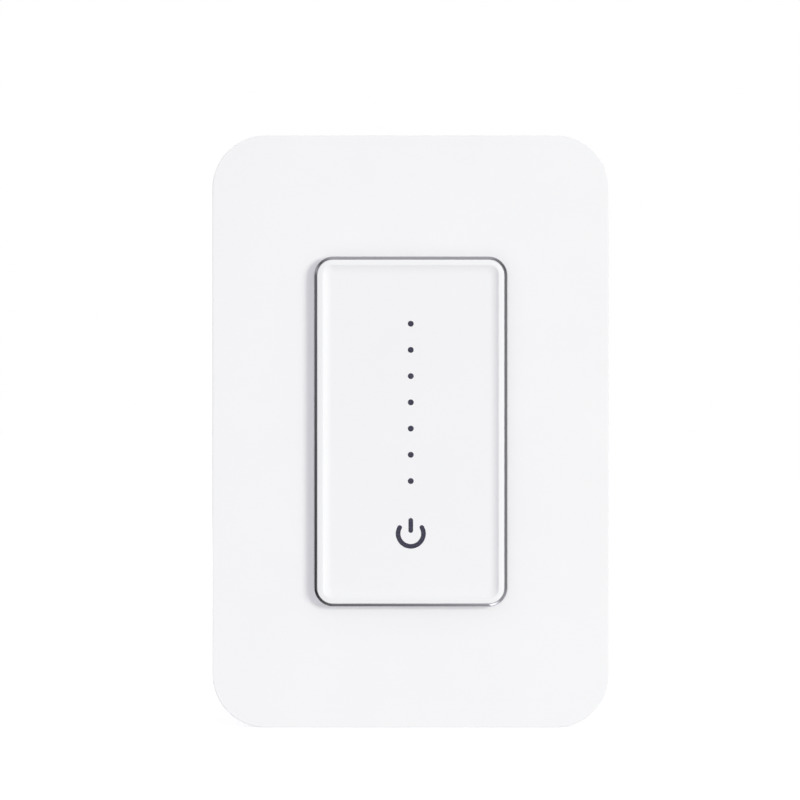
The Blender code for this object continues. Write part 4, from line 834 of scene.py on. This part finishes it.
def makeStrap(p):
    low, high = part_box("mounting_strap")
    front, back = low.y, low.y + p["thick"]
    quarter = [(x * mm, z * mm) for x, z in p["outline"]]
    upper = quarter + [(-x, z) for x, z in quarter[::-1]]
    outline = roundedCorners(upper + [(-x, -z) for x, z in upper], p["round"])
    body = prism("mountingStrap", outline, front, back)
    x, z, half = p["tabX"], p["tabZ"], p["tabHalf"]
    tabOutline = roundedCorners(rectangle(front / 2, p["tabY"], z - half, z + half), p["round"])
    tab = prism("earthTab", tabOutline, x, x + p["thick"], "X")
    boolean(body, [tab], "UNION")
    near, far = front - mm, back + mm
    radius, reach = p["slotHalf"], p["slotLength"] / 2 - p["slotHalf"]
    holes = [prism("window", roundedCorners(rectangle(*p["window"]), p["windowRound"]), near, far)]
    bores = []
    for up in (-1, 1):
        z = up * p["slotZ"]
        slot = arc(reach, z, radius, -pi / 2, pi / 2, 16) + arc(-reach, z, radius, pi / 2, 3 * pi / 2, 16)
        holes.append(prism("boxSlot", slot, near, far))
        bores.append((0.0, up * p["plateHoleZ"], p["plateHole"]))
    bores += [(bossX, bossZ, p["bore"]) for bossX, bossZ in bossPlaces]
    bores.append((0.0, p["deviceZ"], p["deviceBore"]))
    holes += [post("bore", bx, bz, [(size, near), (size, far)]) for bx, bz, size in bores]
    tabHole = circle(p["tabHoleY"], p["tabZ"], p["tabHole"])
    holes.append(prism("tabHole", tabHole, x - mm, x + p["thick"] + mm, "X"))
    cutter = gather(*holes)
    boolean(body, [cutter])
    settle(body)
    discard([tab, cutter])
    soften(body, p["edge"], p["edgeSteps"], p["edgeAngle"])
    freeze(body, "switch_body", "strap_metal", "mounting_strap")


makeStrap(strap)


# screws: a head with a cross recess, and a shank with a wound thread

screws = {  # depth is the thread's, smooth the bare length before it, round a share of the head's height
    "box": {
        "shank": 1.7 * mm, "headHeight": 2.1 * mm, "round": 0.55,
        "pitch": 0.79 * mm, "smooth": 1.2 * mm, "depth": 0.40 * mm,
    },
    "carrier": {
        "shank": 1.6 * mm, "headHeight": 0.0, "sink": 1.45 * mm, "rim": 0.25 * mm,
        "pitch": 0.79 * mm, "smooth": 2.2 * mm, "depth": 0.38 * mm,
    },
    "housing": {
        "shank": 1.2 * mm, "headHeight": 1.6 * mm, "round": 0.6,
        "pitch": 1.1 * mm, "smooth": 23.0 * mm, "depth": 0.32 * mm,
    },
    "device": {
        "shank": 1.4 * mm, "headHeight": 1.2 * mm, "round": 0.5,
        "pitch": 0.5 * mm, "smooth": 0.3 * mm, "depth": 0.22 * mm,
    },
    "terminal": {
        "shank": 1.7 * mm, "headHeight": 2.3 * mm, "round": 0.4,
        "pitch": 0.79 * mm, "smooth": 1.6 * mm, "depth": 0.40 * mm,
    },
}
screwDetail = {
    "around": 28, "rowsPerTurn": 8, "neck": 0.2 * mm, "lip": 0.12 * mm, "sunkLip": 0.08 * mm,
    "step": 0.15 * mm, "lead": 0.2 * mm, "point": 0.5 * mm, "pointWidth": 0.6,
}
recess = {
    "width": 0.82 * mm, "depth": 1.0 * mm, "reach": 0.66, "above": 0.3 * mm,
    "flare": (1.1, 1.15), "taper": (0.45, 0.7),
}
facing = {"-Y": 0.0, "+X": pi / 2, "+Y": pi, "-X": -pi / 2}


def wedge(name, wide, narrow, front, back):  # a block between two rectangles of half (x, z) sizes
    ends, corners = ((wide, front), (narrow, back)), ((-1, -1), (1, -1), (1, 1), (-1, 1))
    return joinRings(name, [[(sx * w, y, sz * h) for sx, sz in corners] for (w, h), y in ends])


def screwProfile(p, across, length):  # (radius, depth, thread) from the middle of the head to the point
    d, shank, core, top = screwDetail, p["shank"], p["shank"] - p["depth"], p["headHeight"]
    if top:
        edge, lip = top * p["round"], d["lip"]
        flat = d["neck"]
        points = [(0.0, -top)] + arc(across - edge, edge - top, edge, -pi / 2, 0.0, 8)
        points += [(across, -lip), (across - lip, 0.0), (shank + flat, 0.0), (shank, flat)]
    else:
        flat, lip = p["sink"], d["sunkLip"]
        points = [(0.0, 0.0), (across - lip, 0.0), (across, lip), (across, p["rim"]), (shank, flat)]
    bare = flat + p["smooth"]
    points += [(shank, bare), (core, bare + d["step"])]
    first, last = bare + d["lead"], length - d["point"]
    fade = d["rowsPerTurn"]  # rows over which the thread grows at its start and dies away at its end
    count = int((last - first) / (p["pitch"] / fade))
    rows = [(x, y, 0.0) for x, y in points]
    for i in range(1, count):
        height = p["depth"] * min(1.0, i / fade, (count - i) / fade)
        rows.append((core, first + (last - first) * i / count, height))
    return rows + [(core, last, 0.0), (core * d["pointWidth"], length, 0.0), (0.0, length, 0.0)]


def makeScrew(node, kind, direction, body, slot, turn):
    p = screws[kind]
    low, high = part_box(node)
    axis = 0 if "X" in direction else 1
    across, top = (high.z - low.z) / 2, p["headHeight"]
    rows = screwProfile(p, across, high[axis] - low[axis] - top)
    screw = settle(turned(node + "Screw", rows, slot, p["pitch"], screwDetail["around"]))
    half, reach = recess["width"] / 2, across * recess["reach"]
    front, back = -top - recess["above"], -top + recess["depth"]
    wide, thin = ((reach * recess[name][0], half * recess[name][1]) for name in ("flare", "taper"))
    tools = [wedge("recessA", wide, thin, front, back), wedge("recessB", wide[::-1], thin[::-1], front, back)]
    boolean(screw, tools)
    settle(screw)
    discard(tools)
    head = [0.0, 0.0, (low.z + high.z) / 2]
    head[1 - axis] = (low[1 - axis] + high[1 - axis]) / 2
    head[axis] = high[axis] - top if "+" in direction else low[axis] + top
    spin = Matrix.Rotation(facing[direction], 4, "Z") @ Matrix.Rotation(turn, 4, "Y")
    screw.data.transform(Matrix.Translation(head) @ spin)
    freeze(screw, body, slot, node)


screwList = [  # node, kind, the way its head faces, body, slot, turn of its recess
    ("box_screw_top", "box", "-Y", "switch_body", "zinc", 0.2),
    ("box_screw_bottom", "box", "-Y", "switch_body", "zinc", 1.3),
    ("carrier_screw_top", "carrier", "-Y", "switch_body", "zinc", 0.6),
    ("carrier_screw_bottom", "carrier", "-Y", "switch_body", "zinc", 0.1),
    ("device_screw", "device", "+Y", "switch_body", "zinc", 0.4),
    ("line_terminal_screw", "terminal", "+X", "line_screw", "brass", 0.5),
    ("load_terminal_screw", "terminal", "+X", "load_screw", "brass", 1.1),
    ("neutral_terminal_screw", "terminal", "-X", "neutral_screw", "zinc", 0.3),
    ("ground_terminal_screw", "terminal", "-X", "ground_screw", "green_metal", 0.8),
]
screwList += [(f"housing_screw_{i}", "housing", "+Y", "switch_body", "zinc", 0.35 * i) for i in range(1, 5)]
for entry in screwList:
    makeScrew(*entry)


# CAD nodes that keep their shape: merged and shaded smooth by angle, those in softEdges also with their edges
# broken

replaced = {"wall_plate", "bezel_ring", "touch_panel", "light_guide", "rear_housing", "mounting_strap"}
replaced |= {entry[0] for entry in screwList}
softEdges = {"plate_carrier": 0.12 * mm, "front_tray": 0.12 * mm, "ground_clamp_plate": 0.12 * mm}
for wire in ("line", "load", "neutral"):
    softEdges |= {f"{wire}_lug": 0.1 * mm, f"{wire}_clamp_plate": 0.12 * mm}
nodeShape = {"weld": 1e-6, "flatAngle": 0.6, "edgeSteps": 2, "edgeAngle": 40.0}


def dressNode(name, node, p):
    node.modifiers.new("Weld", "WELD").merge_threshold = p["weld"]
    if name in softEdges:
        flat = node.modifiers.new("Flat", "DECIMATE")
        flat.decimate_type = "DISSOLVE"
        flat.angle_limit = radians(p["flatAngle"])
        soften(node, softEdges[name], p["edgeSteps"], p["edgeAngle"])
    setInputs(node.modifiers.new("Shade", "NODES"), shading, {"Angle": radians(smoothAngle)})


for name, node in nodes.items():
    if name not in replaced:
        dressNode(name, node, nodeShape)
print("CAD nodes shaded")


# floor, light and camera

studio = {
    "floorHalf": 8.0, "floorTone": 0.62, "floorShade": 0.995, "floorCloud": 0.4,
    "floorGlow": 0.85, "floorRough": 0.9,
    "ambient": 0.765, "ambientLift": 0.12, "ambientTint": (0.95, 0.945, 1.0), "wallShine": 0.4,
    "gleamBase": 0.012,
    "gleams": (  # what metal mirrors, a dark room with pale walls and two lamps, as direction, strength, focus
        ((0.0, -1.0, 0.0), 0.16, 2.0), ((0.0, 1.0, 0.0), 0.72, 1.0), ((1.0, 0.0, 0.0), 0.15, 2.0),
        ((0.0, 0.0, 1.0), 0.14, 2.0), ((0.0, -0.32, 0.95), 0.32, 8.0), ((0.0, 0.0, -1.0), 0.14, 2.0),
        ((0.80, -0.32, -0.50), 0.25, 8.0), ((0.20, -0.32, -0.93), 1.5, 120.0),
        ((0.38, -0.32, -0.87), 1.1, 50.0), ((-0.89, -0.32, 0.32), 0.4, 30.0),
    ),
    "lights": {  # place, size, power, tint, and whether gloss mirrors it
        "keyLight": ((1.56, -1.68, 0.38), 0.84, 26.0, (0.985, 1.0, 0.91), False),
        "lowLight": ((-0.10, -0.35, -0.30), 0.25, 0.18, (1.0, 1.0, 1.0), False),
        "rearLight": ((-0.6, 1.1, 0.6), 0.8, 4.0, (1.0, 1.0, 1.0), True),
    },
    "cameraPlace": (-2.19 * mm, -0.9064, 6.42 * mm), "lens": 198.72, "sensor": 36.0, "clip": (0.05, 30.0),
}


def softLight(name, place, size, power, tint, mirrored):
    light = bpy.data.lights.new(name, "AREA")
    light.shape = "DISK"
    light.size, light.energy, light.color = size, power, tint
    obj = addObject(name, light)
    obj.location = place
    obj.rotation_euler = (-obj.location).to_track_quat("-Z", "Y").to_euler()
    obj.visible_camera = False
    obj.visible_glossy = mirrored


def makeFloor(p):
    half, z, tone = p["floorHalf"], cadBounds[0][2], p["floorTone"]
    bm = bmesh.new()
    bm.faces.new([bm.verts.new((x, y, z)) for x, y in rectangle(-half, half, -half, half)])
    floor = addMesh("studioFloor", bm)
    material, tree, shader, place = newMaterial("paleFloor")
    cloud = noise(tree, place, p["floorCloud"], 2.0)
    pale = blendColours(tree, cloud, (tone * p["floorShade"],) * 3, (tone,) * 3)
    tree.links.new(pale, shader.inputs["Base Color"])
    tree.links.new(pale, shader.inputs["Emission Color"])
    shader.inputs["Emission Strength"].default_value = p["floorGlow"]
    shader.inputs["Roughness"].default_value = p["floorRough"]
    floor.data.materials.append(material)
    floor.visible_diffuse = floor.visible_glossy = False  # soft light and the low lamp stand for its bounce


def makeWorld(p):
    world = bpy.data.worlds.new("studioWorld")
    bpy.context.scene.world = world
    world.use_nodes = True
    tree = world.node_tree
    tree.nodes.clear()
    link = tree.links.new

    def background(colour, strength=1.0):
        node = tree.nodes.new("ShaderNodeBackground")
        node.inputs["Color"].default_value = (*colour, 1.0)
        if isinstance(strength, float):
            node.inputs["Strength"].default_value = strength
        else:
            link(strength, node.inputs["Strength"])
        return node.outputs[0]

    def choose(share, first, second):
        node = tree.nodes.new("ShaderNodeMixShader")
        for socket, source in zip(node.inputs, (share, first, second)):
            link(source, socket)
        return node.outputs[0]

    where = tree.nodes.new("ShaderNodeTexCoord").outputs["Generated"]
    axis = tree.nodes.new("ShaderNodeSeparateXYZ")
    link(where, axis.inputs[0])
    gleam = p["gleamBase"]
    for towards, strength, focus in p["gleams"]:
        dot = tree.nodes.new("ShaderNodeVectorMath")
        dot.operation = "DOT_PRODUCT"
        link(where, dot.inputs[0])
        dot.inputs[1].default_value = Vector(towards).normalized()
        lobe = maths(tree, "POWER", maths(tree, "MAXIMUM", dot.outputs["Value"], 0.0), focus)
        gleam = maths(tree, "ADD", maths(tree, "MULTIPLY", lobe, strength), gleam)
    ray = tree.nodes.new("ShaderNodeLightPath").outputs
    lift = maths(tree, "ADD", maths(tree, "MULTIPLY", axis.outputs["Z"], p["ambientLift"]), 1.0)
    wall = maths(tree, "ADD", maths(tree, "MULTIPLY", ray["Is Glossy Ray"], p["wallShine"]), 1.0)
    soft = maths(tree, "MULTIPLY", maths(tree, "MULTIPLY", lift, p["ambient"]), wall)
    direct = maths(tree, "LESS_THAN", ray["Diffuse Depth"], 0.5)
    mirrored = maths(tree, "MULTIPLY", ray["Is Glossy Ray"], direct)
    tint = p["ambientTint"]
    room = choose(mirrored, background(tint, soft), background(tint, gleam))
    seen = choose(ray["Is Camera Ray"], room, background((1.0, 1.0, 1.0)))  # plain white behind everything
    link(seen, tree.nodes.new("ShaderNodeOutputWorld").inputs["Surface"])


def makeCamera(p):
    camera = bpy.data.cameras.new("photoCamera")
    camera.lens, camera.sensor_width = p["lens"], p["sensor"]
    camera.clip_start, camera.clip_end = p["clip"]
    obj = addObject("photoCamera", camera)
    obj.location = p["cameraPlace"]
    obj.rotation_euler = (pi / 2, 0.0, 0.0)
    bpy.context.scene.camera = obj


makeFloor(studio)
makeWorld(studio)
for name, values in studio["lights"].items():
    softLight(name, *values)
makeCamera(studio)
view = bpy.context.scene.view_settings
view.view_transform, view.look, view.exposure, view.gamma = "Standard", "None", 0.0, 1.0
print("studio ready")
